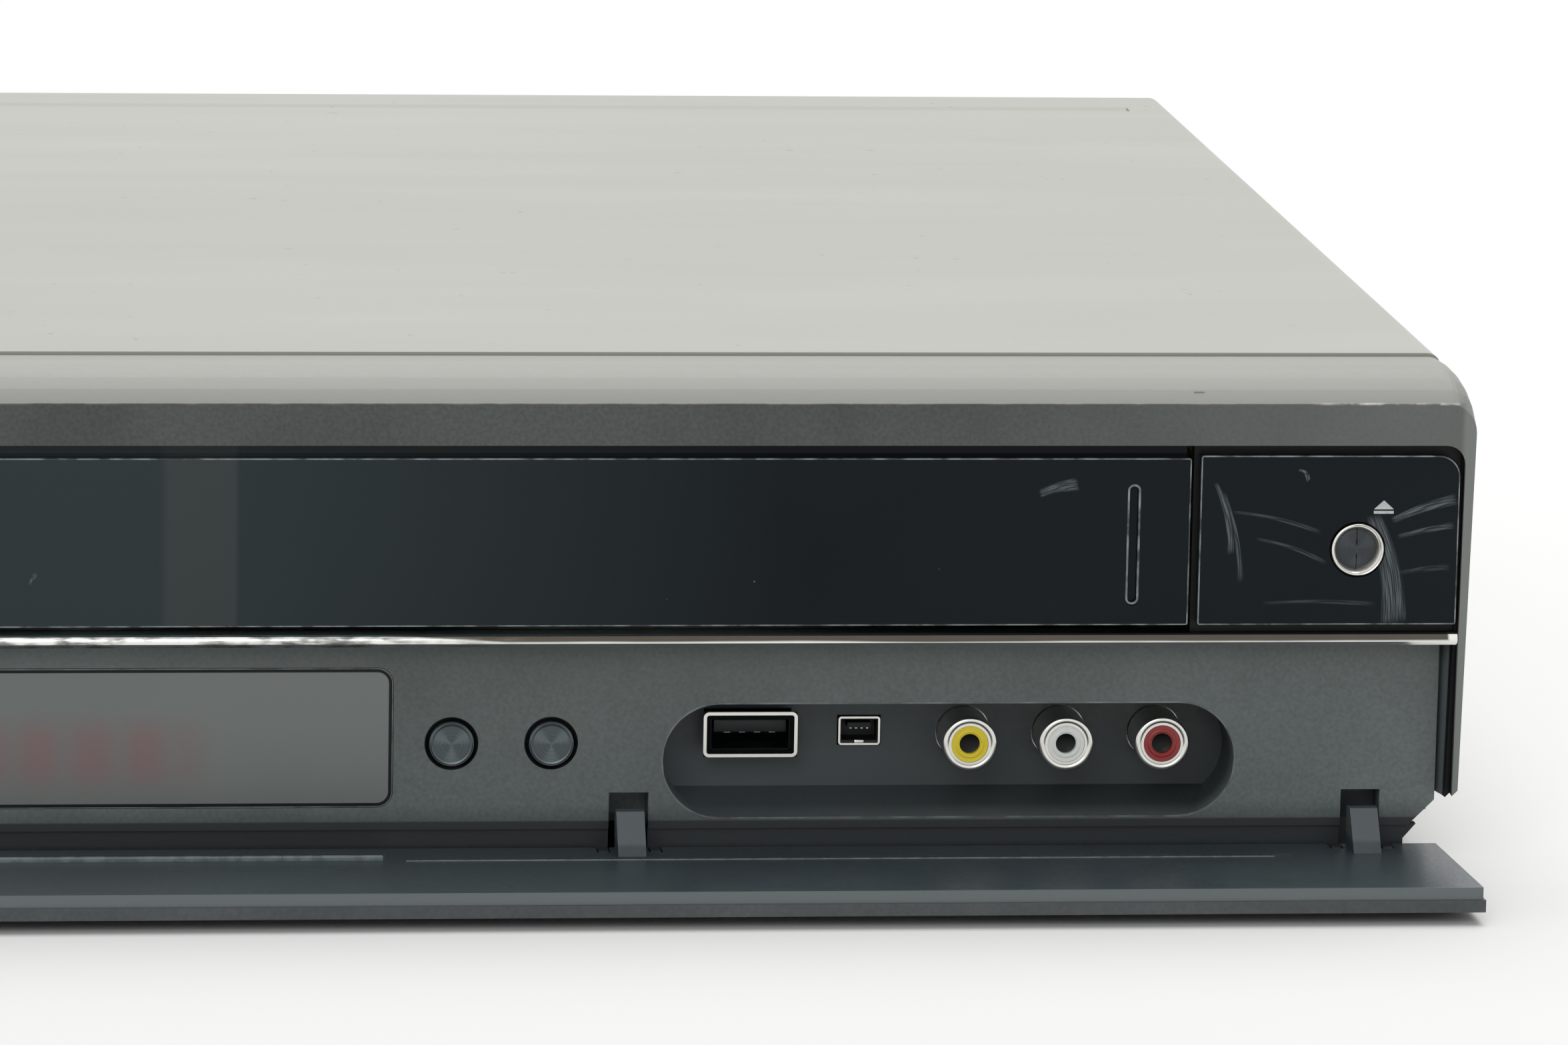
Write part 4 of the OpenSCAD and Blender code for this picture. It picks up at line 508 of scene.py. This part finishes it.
FINISHES = {
    cover_enamel: ["top_cover"],
    bezel_plastic: ["front_bezel"],
    panel_plastic: ["control_panel"],
    flap_plastic: ["flap_panel"],
    skin_plastic: ["flap_skin"],
    plain_gloss: ["power_block"],
    eject_gloss: ["eject_block"],
    door_gloss: ["tray_front", "vcr_door"],
    bright_chrome: ["chrome_trim", "tape_posts"],
    window_acrylic: ["display_window"],
    tube_glass: ["display_tube"],
    steel: ["base_chassis", "rear_panel", "cover_screws", "hinge_pins", "clamp_bridge", "deck_chassis",
            "cassette_brackets", "cassette_basket", "pinch_arm", "tuner_box"],
    nickel: ["front_jack_shells", "rear_jack_shells"],
    socket_steel: ["usb_port"],
    yellow: ["video_jack_insert"],
    white: ["left_audio_jack_insert"],
    red: ["right_audio_jack_insert"],
    inner_plastic: ["dv_port", "drive_frame", "traverse", "optical_sled", "clamp_puck", "basket_slider",
                    "rear_jack_block", "power_inlet", "fan_frame", "fan_rotor"],
    tray_plastic: ["disc_tray", "turntable"],
    pale_acetal: ["tray_gear", "supply_reel", "takeup_reel"],
    foot_plastic: ["feet"],
    nitrile_rubber: ["pinch_roller"],
    drum_alloy: ["drum_base", "head_drum", "capstan"],
    green_board: ["front_board", "main_board"],
    tan_board: ["power_board"],
}
SMALL_BUTTONS = [key + "_button" for key in ("source", "resolution", "record", "stop", "play", "pause")]
RING_BUTTONS = ["eject_button", "power_button"]
for name in SMALL_BUTTONS:
    FINISHES[spun_metal(name + "_alloy", "7D898C", "252B2E", centre(name), 0.5)] = [name]
FINISHES[button_chrome] = RING_BUTTONS

for material, names in FINISHES.items():
    for name in names:
        nodes[name].data.materials.clear()
        nodes[name].data.materials.append(material)


# ---- Modelling ----

FRONT, REAR, RIGHT, LEFT = (0, -1, 0), (0, 1, 0), (1, 0, 0), (-1, 0, 0)
SMOOTH_UP_TO = math.radians(35)


def begin(kind, name, at, turn=(0, 0, 0), stretch=(1, 1, 1), **shape):
    """Adds a primitive at its size and place, in mm, and opens it in edit mode."""
    bpy.ops.object.select_all(action="DESELECT")
    shape = {key: value if key == "vertices" else value * MM for key, value in shape.items()}
    primitive = getattr(bpy.ops.mesh, "primitive_" + kind + "_add")
    primitive(location=Vector(at) * MM, rotation=turn, scale=stretch, **shape)
    piece = bpy.context.object
    piece.name = piece.data.name = name
    bpy.ops.object.transform_apply(location=True, rotation=True, scale=True)
    bpy.ops.object.mode_set(mode="EDIT")
    return piece


def pick(piece, test, kind="FACE"):
    """Selects faces or edges by a test of their middle in mm, their direction and the part itself."""
    bpy.ops.mesh.select_mode(type=kind)
    bpy.ops.mesh.select_all(action="DESELECT")
    mesh = bmesh.from_edit_mesh(piece.data)
    mesh.normal_update()
    for part in mesh.faces if kind == "FACE" else mesh.edges:
        if kind == "FACE":
            at, way = part.calc_center_median(), part.normal
        else:
            first, last = (corner.co for corner in part.verts)
            at, way = (first + last) / 2, (last - first).normalized()
        if test(at / MM, way, part):
            part.select_set(True)
    mesh.select_flush_mode()
    bmesh.update_edit_mesh(piece.data)


def bridge_through(piece):
    """Removes the picked faces at the front and back, and joins the two openings with a wall."""
    bpy.ops.mesh.delete(type="FACE")
    bpy.ops.mesh.select_mode(type="EDGE")
    bpy.ops.mesh.select_all(action="DESELECT")
    bpy.ops.mesh.select_non_manifold()
    bpy.ops.mesh.bridge_edge_loops()


def placed(piece, material, body):
    """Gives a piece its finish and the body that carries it."""
    piece.data.materials.clear()
    piece.data.materials.append(material)
    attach(piece, body)
    return piece


def done(piece, material, body):
    """Closes a piece: normals outwards, smooth up to an angle, and placed."""
    bpy.ops.mesh.select_mode(type="FACE")
    bpy.ops.mesh.select_all(action="SELECT")
    bpy.ops.mesh.normals_make_consistent(inside=False)
    bpy.ops.mesh.select_all(action="DESELECT")
    bpy.ops.object.mode_set(mode="OBJECT")
    bpy.ops.object.shade_smooth_by_angle(angle=SMOOTH_UP_TO)
    return placed(piece, material, body)


def copied(piece, name, shift, material, body):
    """Copy of a finished piece with its own mesh, moved by a distance in mm."""
    bpy.ops.object.select_all(action="DESELECT")
    piece.select_set(True)
    bpy.context.view_layer.objects.active = piece
    bpy.ops.object.duplicate(linked=False)
    copy = bpy.context.object
    copy.name = copy.data.name = name
    copy.location = Vector(shift) * MM
    bpy.ops.object.transform_apply(location=True, rotation=True, scale=True)
    return placed(copy, material, body)


def turned(name, at, radius, thickness, steps, hole=None, points=64, facing=FRONT):
    """Turned disc with its face at a place: each step narrows the face by a width and sinks it by a depth."""
    facing = Vector(facing)
    middle = Vector(at) - facing * thickness / 2
    piece = begin("cylinder", name, middle, facing.to_track_quat("Z", "Y").to_euler(),
                  radius=radius, depth=thickness, vertices=points)
    pick(piece, lambda at, way, part: way.dot(facing) > 0.9)
    for narrower, sunk in steps:
        bpy.ops.mesh.inset(thickness=narrower * MM)
        bpy.ops.transform.translate(value=-facing * sunk * MM)
    if hole:
        pick(piece, lambda at, way, part: way.dot(facing) < -0.9)
        bpy.ops.mesh.inset(thickness=(radius - hole) * MM)
        pick(piece, lambda at, way, part: len(part.verts) == points)
        bridge_through(piece)
    return piece


def rim(name, low, high, width, radius, top_radius=None, outer=1):
    """Frame round a rectangle seen from the front, cut through; its top outer corner may be a large one."""
    low, high = Vector(low), Vector(high)
    middle = (low + high) / 2
    piece = begin("cube", name, middle, stretch=high - low, size=1.0)

    def large(at):
        return at.z > middle.z and outer * (at.x - middle.x) > 0

    if top_radius:
        pick(piece, lambda at, way, part: abs(way.y) > 0.9 and large(at), "EDGE")
        bpy.ops.mesh.bevel(offset=top_radius * MM, segments=12, affect="EDGES")
        pick(piece, lambda at, way, part: abs(way.y) > 0.9 and not large(at), "EDGE")
    else:
        pick(piece, lambda at, way, part: abs(way.y) > 0.9, "EDGE")
    bpy.ops.mesh.bevel(offset=radius * MM, segments=8, affect="EDGES")
    pick(piece, lambda at, way, part: abs(way.y) > 0.9)
    bpy.ops.mesh.inset(thickness=width * MM)
    bridge_through(piece)
    return piece


def bar(name, low, high, radius, steps=2):
    """Straight bar with rounded edges."""
    low, high = Vector(low), Vector(high)
    piece = begin("cube", name, (low + high) / 2, stretch=high - low, size=1.0)
    bpy.ops.mesh.select_all(action="SELECT")
    bpy.ops.mesh.bevel(offset=radius * MM, segments=steps, affect="EDGES")
    return piece


def around(at, half_width, half_height, front, back):
    """Lowest and highest corner of a block round a point of the face, between two depths."""
    return (at.x - half_width, front, at.z - half_height), (at.x + half_width, back, at.z + half_height)


def joined(name, pieces):
    """Makes one piece of several finished ones."""
    bpy.ops.object.select_all(action="DESELECT")
    for piece in pieces:
        piece.select_set(True)
    bpy.context.view_layer.objects.active = pieces[0]
    bpy.ops.object.join()
    pieces[0].name = pieces[0].data.name = name


# ---- Buttons ----

# the large buttons: a plated bead round the mouth of the funnel, and a dark domed cap down inside it
BEAD_RADIUS, LARGE_MOUTH = 4.03, 2.9
FUNNEL = [(0.05, -0.06), (0.07, -0.03), (0.07, 0.03), (0.2, 0.17), (0.25, 0.3), (0.22, 0.4), (0.27, 0.42)]
CAP_RADIUS, CAP_DEPTH = 3.14, 1.35
CAP_DOME = [(0.1, -0.1), (0.15, -0.06), (0.6, -0.12), (0.8, -0.08), (0.8, -0.03)]
for name in RING_BUTTONS:
    at, front = centre(name), reach(name)[0].y
    body = name.replace("button", "key")
    bead = turned(name + "_bead", (at.x, front + 0.02, at.z), BEAD_RADIUS, 1.4, FUNNEL, hole=LARGE_MOUTH)
    done(bead, button_chrome, body)
    cap = turned(name + "_cap", (at.x, front + CAP_DEPTH, at.z), CAP_RADIUS, 0.6, CAP_DOME)
    # the fine seam where the cap's two halves meet
    seam_x, dome_back = at.x, front + CAP_DEPTH + 0.1

    def on_seam(at):
        return abs(at.x - seam_x) < 0.01 and at.y < dome_back

    bpy.ops.mesh.select_all(action="SELECT")
    bpy.ops.mesh.bisect(plane_co=(seam_x * MM, 0, at.z * MM), plane_no=RIGHT)
    pick(cap, lambda at, way, part: on_seam(at) and abs(way.x) < 0.01, "EDGE")
    bpy.ops.mesh.bevel(offset=0.06 * MM, segments=2, affect="EDGES")
    pick(cap, lambda at, way, part: on_seam(at), "EDGE")
    bpy.ops.transform.translate(value=(0, 0.12 * MM, 0))
    done(cap, spun_metal(name + "_cap_alloy", "4A5053", "23282B", at, 0.4), body)

# the small buttons: a rounded rim round a shallow turned dish
DISH = [(0.08, -0.13), (0.12, -0.07), (0.14, 0.02), (0.14, 0.12), (0.3, 0.08), (0.9, 0.07), (0.9, 0.03)]
for name in SMALL_BUTTONS:
    at, front = centre(name), reach(name)[0].y
    face = turned(name + "_face", (at.x, front + 0.05, at.z), 3.36, 0.4, DISH)
    done(face, nodes[name].data.materials[0], name.replace("button", "key"))

# eject sign above the button: a flat triangle over a bar, printed in grey
sign_x, sign_z = EJECT.x + 3.9, EJECT.z + 6.7
INK = 0.025
triangle = begin("cylinder", "eject_triangle", (sign_x, FACE, sign_z + 0.1), (math.pi / 2, 0, 0),
                 radius=1.0, depth=2 * INK, vertices=3)
base_z = min(vertex.co.z for vertex in bmesh.from_edit_mesh(triangle.data).verts)
bpy.ops.mesh.select_all(action="SELECT")
bpy.ops.transform.resize(value=(1.79, 1, 0.93), center_override=(sign_x * MM, FACE * MM, base_z))
pick(triangle, lambda at, way, part: abs(way.y) > 0.9, "EDGE")
bpy.ops.mesh.bevel(offset=0.08 * MM, segments=2, affect="EDGES")
done(triangle, print_ink, "case")
line = bar("eject_line", (sign_x - 1.55, FACE - INK, sign_z - 1.1),
           (sign_x + 1.55, FACE + INK, sign_z - 0.65), 0.02)
done(line, print_ink, "case")
joined("eject_sign", [triangle, line])


# ---- Rubbed outlines of the glossy front, partly painted highlight ----

PROUD, LINE = 0.03, 0.17
block_low, block_high = reach("eject_block")
other_low, other_high = reach("power_block")
tray_low, tray_high = reach("tray_front")
door_right = block_low.x - 1.6
gloss_low, gloss_high = block_low.z, block_high.z - 0.4
# left, right and top of each glossy face, and the side of its large corner
FACES = [
    ("door_outline", "door", tray_high.x + 2.0, door_right, gloss_high, 0),
    ("tray_outline", "tray", tray_low.x, tray_high.x, gloss_high, 0),
    ("eject_block_outline", "case", block_low.x, block_high.x, block_high.z, 1),
    ("power_block_outline", "case", other_low.x, other_high.x, other_high.z, -1),
]
for name, body, left, right, top, outer in FACES:
    outline = rim(name, (left - 0.02, FACE - PROUD, gloss_low - 0.02), (right + 0.02, FACE + 0.5, top + 0.02),
                  LINE, 0.35, top_radius=3.32 if outer else None, outer=outer)
    done(outline, edge_wear_and_highlight, body)

# finger grooves: the lip of a rounded slot in the door and in the tray's front, by half width and half height
GROOVE_WIDTH, GROOVE_HEIGHT, GROOVE_INSET = 1.0, 9.35, 8.7
groove_z = (gloss_low + gloss_high) / 2 - 0.4
# the pale lips are partly wear, partly painted highlight
for body, x in (("door", door_right - GROOVE_INSET), ("tray", tray_low.x + GROOVE_INSET)):
    corners = around(Vector((x, 0, groove_z)), GROOVE_WIDTH, GROOVE_HEIGHT, FACE - PROUD, FACE + 0.3)
    lip = rim(body + "_groove_lip", *corners, 0.3, 0.95)
    done(lip, edge_wear_and_highlight, body)


# ---- Control panel ----


def panel_rim(name, low, high, beyond, proud, deep, width, radius, finish):
    """Rim on the panel round an opening, which it passes by a distance."""
    frame_low = (low.x - beyond, PANEL_Y - proud, low.z - beyond)
    frame_high = (high.x + beyond, PANEL_Y + deep, high.z + beyond)
    done(rim(name, frame_low, frame_high, width, radius), finish, "case")


# the window's flange lies behind the panel, so what shows of it is smaller
FLANGE = Vector((2.0, 0, 1.3))
window_low, window_high = WINDOW[0] + FLANGE, WINDOW[1] - FLANGE
panel_rim("window_joint", window_low, window_high, 0.05, 0.02, 0.4, 0.46, 2.25, joint_and_shade_black)
# the pale outline round the window and the lip round the recess are partly wear, partly painted highlight
panel_rim("window_outline", window_low, window_high, 0.2, 0.04, 0.3, 0.14, 2.4, faint_wear_and_highlight)
panel_rim("recess_lip", RECESS_LOW, RECESS_HIGH, 0.22, 0.05, 0.4, 0.24, 8.9, faint_wear_and_highlight)

for name in SMALL_BUTTONS:
    at = centre(name)
    gap = turned(name + "_gap", (at.x, PANEL_Y - 0.02, at.z), 4.14, 0.4, [(0.1, -0.02)], hole=3.5)
    done(gap, joint_and_shade_black, "case")


# ---- Sockets ----


def contact_row(name, low, high, pitch):
    """Four plated contacts side by side."""
    first = done(bar(name + "_1", low, high, 0.04), contact_metal, "case")
    for i in range(1, 4):
        copied(first, f"{name}_{i + 1}", (pitch * i, 0, 0), contact_metal, "case")


# front phono jacks: a rolled nickel bead at each shell's mouth, the insert's raised ring, and behind its hole
# a dark disc of painted shade
phono_z, phono_y = (PHONO_SHELLS[0].z + PHONO_SHELLS[1].z) / 2, PHONO_SHELLS[0].y
video_x = centre("video_jack_insert").x
BEAD = [(0.12, -0.16), (0.22, -0.12), (0.28, 0.0), (0.2, 0.1), (0.14, 0.16)]
RING = [(0.06, -0.06), (0.2, -0.05), (0.2, 0.05), (0.06, 0.12)]
WELL = [(0.3, 0.12), (0.5, 0.2)]
bead = turned("video_jack_bead", (video_x, phono_y + 0.06, phono_z), PHONO_RADIUS + 0.05, 0.8, BEAD,
              hole=2.95)
done(bead, nickel, "case")
ring = turned("video_jack_ring", (video_x, phono_y + 0.12, phono_z), 2.25, 0.5, RING, hole=1.58)
done(ring, yellow, "case")
hole_shade = turned("video_jack_contact", (video_x, phono_y + 1.1, phono_z), 1.66, 0.6, WELL)
done(hole_shade, joint_and_shade_black, "case")
for label, finish in (("left_audio_jack", white), ("right_audio_jack", red)):
    shift = (centre(label + "_insert").x - video_x, 0, 0)
    copied(bead, label + "_bead", shift, nickel, "case")
    copied(ring, label + "_ring", shift, finish, "case")
    copied(hole_shade, label + "_contact", shift, joint_and_shade_black, "case")

# USB socket: flared lip, a black liner of painted shade over its inner walls, and the tongue with its contacts
usb_y = reach("usb_port")[0].y
flare = rim("usb_flare", *around(USB, 7.3, 3.55, usb_y - 0.12, usb_y + 0.5), 0.5, 0.9)
done(flare, nickel, "case")
shade_liner = rim("usb_liner", *around(USB, 6.14, 2.44, usb_y + 0.5, usb_y + 9), 0.12, 0.3)
done(shade_liner, joint_and_shade_black, "case")
tongue = bar("usb_tongue", (USB.x - 5.65, usb_y + 1.1, USB.z + 0.15),
             (USB.x + 5.65, usb_y + 9, USB.z + 2.15), 0.15)
done(tongue, inner_plastic, "case")
contact_row("usb_contact", (USB.x - 4.0, usb_y + 1.4, USB.z + 0.03),
            (USB.x - 3.0, usb_y + 8, USB.z + 0.2), 2.33)

# camera socket: thin pale rim with a keying notch, and four small contacts
dv_low, dv_high = CAMERA_SOCKET
dv_x, dv_z = (dv_low.x + dv_high.x) / 2, (dv_low.z + dv_high.z) / 2
dv_rim = rim("camera_socket_rim", (dv_low.x - 0.05, dv_low.y - 0.1, dv_low.z - 0.05),
             (dv_high.x + 0.05, dv_low.y + 0.4, dv_high.z + 0.05), 0.3, 0.5)
done(dv_rim, nickel, "case")
notch = bar("camera_socket_notch", (dv_x - 0.8, dv_low.y - 0.06, dv_low.z + 0.1),
            (dv_x + 0.8, dv_low.y + 0.4, dv_low.z + 0.8), 0.2, 4)
done(notch, nickel, "case")
contact_row("camera_socket_contact", (dv_x - 1.45, dv_low.y + 0.45, dv_z + 0.2),
            (dv_x - 1.15, dv_low.y + 3, dv_z + 0.4), 0.87)


# ---- Flap ----

flap_top = reach("flap_skin")[1].z + 0.2


def on_flap(out):
    """Height of the open flap's upper face, which rises to its lip, at a distance in front of the unit."""
    return flap_top + 0.5 + 1.2 * out / (FACE - FLAP[0].y)


BAND_OUT, RIDGE_OUT = 4.9, 5.6
# the ridge band and the ridge line are pale: partly wear, partly painted highlight along their lit edges
band = bar("flap_ridge_band", (-47.6, FACE - BAND_OUT, on_flap(BAND_OUT) - 0.2),
           (47.6, FACE - 4.0, on_flap(BAND_OUT) + 0.85), 0.25, 3)
done(band, ridge_wear_and_highlight, "flap")
ridge = bar("flap_ridge_line", (51, FACE - RIDGE_OUT, on_flap(RIDGE_OUT) - 0.15),
            (184.7, FACE - 5.2, on_flap(RIDGE_OUT) + 0.24), 0.08)
done(ridge, ridge_wear_and_highlight, "flap")


# ---- Back of the unit ----

# rear phono jacks: nickel bead, coloured ring and sleeve on each shell, in rows by what they carry
rear_low, rear_high = reach("rear_jack_shells")
REAR_PITCH = 14
rear_xs = [rear_low.x + PHONO_RADIUS + REAR_PITCH * i for i in range(6)]
rear_zs = [rear_low.z + PHONO_RADIUS, rear_high.z - PHONO_RADIUS]
COLOURS = [[red, red, blue, yellow, red, yellow], [white, white, green, yellow, white, red]]
REAR_RING = [(0.1, -0.1), (0.3, -0.1), (0.3, 0.1)]
first = Vector((rear_xs[0], rear_high.y, rear_zs[0]))
rear_bead = turned("rear_jack_1_1_bead", first - Vector((0, 0.05, 0)), PHONO_RADIUS + 0.04, 0.9, BEAD,
                   hole=3.0, points=40, facing=REAR)
done(rear_bead, nickel, "case")
rear_ring = turned("rear_jack_1_1_ring", first - Vector((0, 0.1, 0)), 2.95, 0.7, REAR_RING,
                   hole=1.62, points=40, facing=REAR)
done(rear_ring, red, "case")
sleeve = turned("rear_jack_1_1_sleeve", (first.x, rear_low.y + 7.0, first.z), PHONO_RADIUS + 1.5, 1.4,
                [(0.5, -0.15)], hole=PHONO_RADIUS + 0.02, points=40, facing=REAR)
done(sleeve, red, "case")
for row, z in enumerate(rear_zs):
    for column, x in enumerate(rear_xs):
        if row == column == 0:
            continue
        tag = f"rear_jack_{row + 1}_{column + 1}"
        finish = COLOURS[row][column]
        shift = Vector((x, rear_high.y, z)) - first
        copied(rear_bead, tag + "_bead", shift, nickel, "case")
        copied(rear_ring, tag + "_ring", shift, finish, "case")
        copied(sleeve, tag + "_sleeve", shift, finish, "case")

# aerial sockets: a turned collar and thread on each barrel, and a pale core
tuner_low, tuner_high = reach("tuner_box")
tuner_x = (tuner_low.x + tuner_high.x) / 2
upper_z, lower_z = tuner_high.z - 7, tuner_high.z - 21
THREAD, THREAD_PITCH = [(0.35, -0.25), (0.35, -0.05), (0.4, 0.1)], 1.35
collar = turned("aerial_socket_1_collar", (tuner_x, tuner_high.y - 0.1, upper_z), 4.95, 0.9, THREAD,
                hole=3.25, points=48, facing=REAR)
done(collar, nickel, "case")
pin = turned("aerial_socket_1_pin", (tuner_x, tuner_high.y - 2, upper_z), 1.4, 6, [(0.3, -0.3), (0.4, 0.5)],
             points=24, facing=REAR)
done(pin, white, "case")
drop = lower_z - upper_z
threads = [(1, step, 0) for step in range(1, 5)] + [(2, step, drop) for step in range(5)]
for number, step, down in threads:
    part = f"thread_{step}" if step else "collar"
    shift = (0, -THREAD_PITCH * step, down)
    copied(collar, f"aerial_socket_{number}_{part}", shift, nickel, "case")
copied(pin, "aerial_socket_2_pin", (0, 0, drop), white, "case")

# mains socket: moulded rim, and the two pins' rounded ends
inlet_low, inlet_high = reach("power_inlet")
inlet_x, inlet_z = (inlet_low.x + inlet_high.x) / 2, inlet_high.z - 7
surround = rim("power_inlet_rim", (inlet_low.x, inlet_high.y - 0.3, inlet_z - 7),
               (inlet_high.x, inlet_high.y + 0.5, inlet_z + 7), 1.4, 1.2)
done(surround, inner_plastic, "case")
prong = turned("power_inlet_pin_1", (inlet_x - 4.3, inlet_high.y - 1.9, inlet_z), 1.24, 6,
               [(0.25, -0.25), (0.4, -0.2)], points=32, facing=REAR)
done(prong, nickel, "case")
copied(prong, "power_inlet_pin_2", (8.6, 0, 0), nickel, "case")

# cover screws: a domed head with a cross recess on each, drawn as dark bars of painted shade
screw_low, screw_high = reach("cover_screws")
SIDE_SCREWS = [(facing, Vector((facing[0] * screw_high.x, FACE + back, screw_low.z + 3)))
               for facing in (LEFT, RIGHT) for back in (60, 260)]
REAR_SCREWS = [(REAR, Vector((x, screw_high.y, screw_high.z - 3))) for x in (-150, 0, 150)]
HEAD = [(0.3, -0.22), (0.5, -0.14), (0.7, -0.08)]
SLOT_LENGTH, SLOT_WIDTH, SLOT_DEPTH = 3.4, 0.55, 0.12


def screw_head(name, facing, at):
    """Domed head over a fastener, with the two slots of its cross recess as dark bars of painted shade."""
    facing = Vector(facing)
    dome = turned(name + "_head", at + facing * 0.1, 3.05, 0.5, HEAD, points=32, facing=facing)
    done(dome, steel, "case")
    top = at + facing * 0.45
    slots = []
    for length, height in ((SLOT_LENGTH, SLOT_WIDTH), (SLOT_WIDTH, SLOT_LENGTH)):
        across, deep = length / 2, SLOT_DEPTH
        half = Vector((across, deep, height / 2) if abs(facing.y) > 0.5 else (deep, across, height / 2))
        slot = bar(name + "_slot", top - half, top + half, 0.1)
        slots.append(done(slot, joint_and_shade_black, "case"))
    joined(name + "_cross", slots)


for kind, screws in (("side", SIDE_SCREWS), ("rear", REAR_SCREWS)):
    for number, (facing, at) in enumerate(screws, 1):
        screw_head(f"{kind}_screw_{number}", facing, at)

# fan: domed hub cap that turns with the blades
fan = centre("fan_rotor")
fan_back = reach("fan_rotor")[1].y
hub = turned("fan_hub_cap", (fan.x, fan_back + 0.15, fan.z), 8.0, 0.8,
             [(0.6, -0.2), (0.8, -0.1), (5.2, 0.25)], points=48, facing=REAR)
done(hub, tray_plastic, "fan")


# ---- Studio ----


def looked_at(tree):
    """One for what is seen, directly, in a reflection or through glass, and nought for light on its way."""
    path = add(tree, "LightPath").outputs
    seen = calc(tree, "MAXIMUM", path["Is Camera Ray"], path["Is Glossy Ray"])
    return calc(tree, "MAXIMUM", seen, path["Is Transmission Ray"])


WHITE = (1, 1, 1, 1)
world = bpy.data.worlds.new("studio")
scene.world = world
world.use_nodes = True
room = world.node_tree
room.nodes.clear()
soft = add(room, "Background", {"Strength": 0.55})
wall = add(room, "Background", {"Color": WHITE, "Strength": 1.0})
mixed = add(room, "MixShader", {0: looked_at(room), 1: soft.outputs[0], 2: wall.outputs[0]})
add(room, "OutputWorld", {"Surface": mixed.outputs[0]})

# the floor keeps the unit's shadow, and further out it is as white as the wall, also in reflections
floor_paint, paint, floor_shader, place = surface("floor_paint", Roughness=0.8, Specular_IOR_Level=0.1)
x, y, _ = parts(paint, place)
pale = mix(paint, noise(paint, place, 180, 2), "EDEDEC", "F0F0EF")
# painted shadow: the floor under the unit, between its feet, is painted dark
painted_shadow = times(paint, fade(paint, calc(paint, "ABSOLUTE", x), 209, 205), fade(paint, y, FACE + 8, FACE + 16),
              fade(paint, y, 120, 100))
wire(paint, floor_shader, Base_Color=mix(paint, painted_shadow, pale, "3A3C3E"))
away = vector_calc(paint, "DISTANCE", place, (0, 0.01, 0), "Value")
far_out = fade(paint, away, 330, 750, interpolation_type="SMOOTHSTEP")
white_floor = add(paint, "Emission", {"Color": WHITE, "Strength": 1.0})
floor_mix = add(paint, "MixShader", {0: times(paint, far_out, looked_at(paint)), 1: floor_shader.outputs[0],
                                     2: white_floor.outputs[0]})
floor_out = next(node for node in paint.nodes if node.type == "OUTPUT_MATERIAL")
paint.links.new(floor_mix.outputs[0], floor_out.inputs["Surface"])
floor = begin("plane", "floor", (0, 0, -0.3), size=12.0 / MM)
bpy.ops.mesh.select_all(action="SELECT")
bpy.ops.mesh.subdivide(number_cuts=3)
bpy.ops.object.mode_set(mode="OBJECT")
floor.data.materials.append(floor_paint)


def lamp(name, place, target, size, power):
    """Soft box of a size in metres at a place, aimed at a target."""
    light = bpy.data.lights.new(name, "AREA")
    light.shape = "RECTANGLE"
    light.size, light.size_y = size
    light.energy = power
    box = bpy.data.objects.new(name, light)
    box.location = place
    box.rotation_euler = (Vector(target) - Vector(place)).to_track_quat("-Z", "Y").to_euler()
    scene.collection.objects.link(box)


lamp("top_light", (0.35, 0.5, 1.7), (0.05, 0.05, 0), (1.8, 1.4), 27)
lamp("front_light", (-0.5, -1.9, 1.1), (0.05, -0.1, 0.03), (1.2, 0.9), 9)

# the camera stands left of the middle and looks to the right and a little down
LENS, SENSOR = 184.39, 36
CAMERA_PLACE = (-0.01919, -1.33615, 0.28289)
BEARING, DOWN, ROLL = -6.0958, 10.6962, 1.0762
camera = bpy.data.objects.new("camera", bpy.data.cameras.new("camera"))
scene.collection.objects.link(camera)
camera.data.sensor_width = SENSOR
camera.data.lens = LENS
camera.data.clip_end = 50
camera.location = CAMERA_PLACE
bearing, tilt, roll = (math.radians(angle) for angle in (BEARING, 90 - DOWN, ROLL))
aim = Matrix.Rotation(bearing, 4, "Z") @ Matrix.Rotation(tilt, 4, "X") @ Matrix.Rotation(roll, 4, "Z")
camera.rotation_mode = "XYZ"
camera.rotation_euler = aim.to_euler("XYZ")
scene.camera = camera
scene.view_settings.view_transform = "Standard"
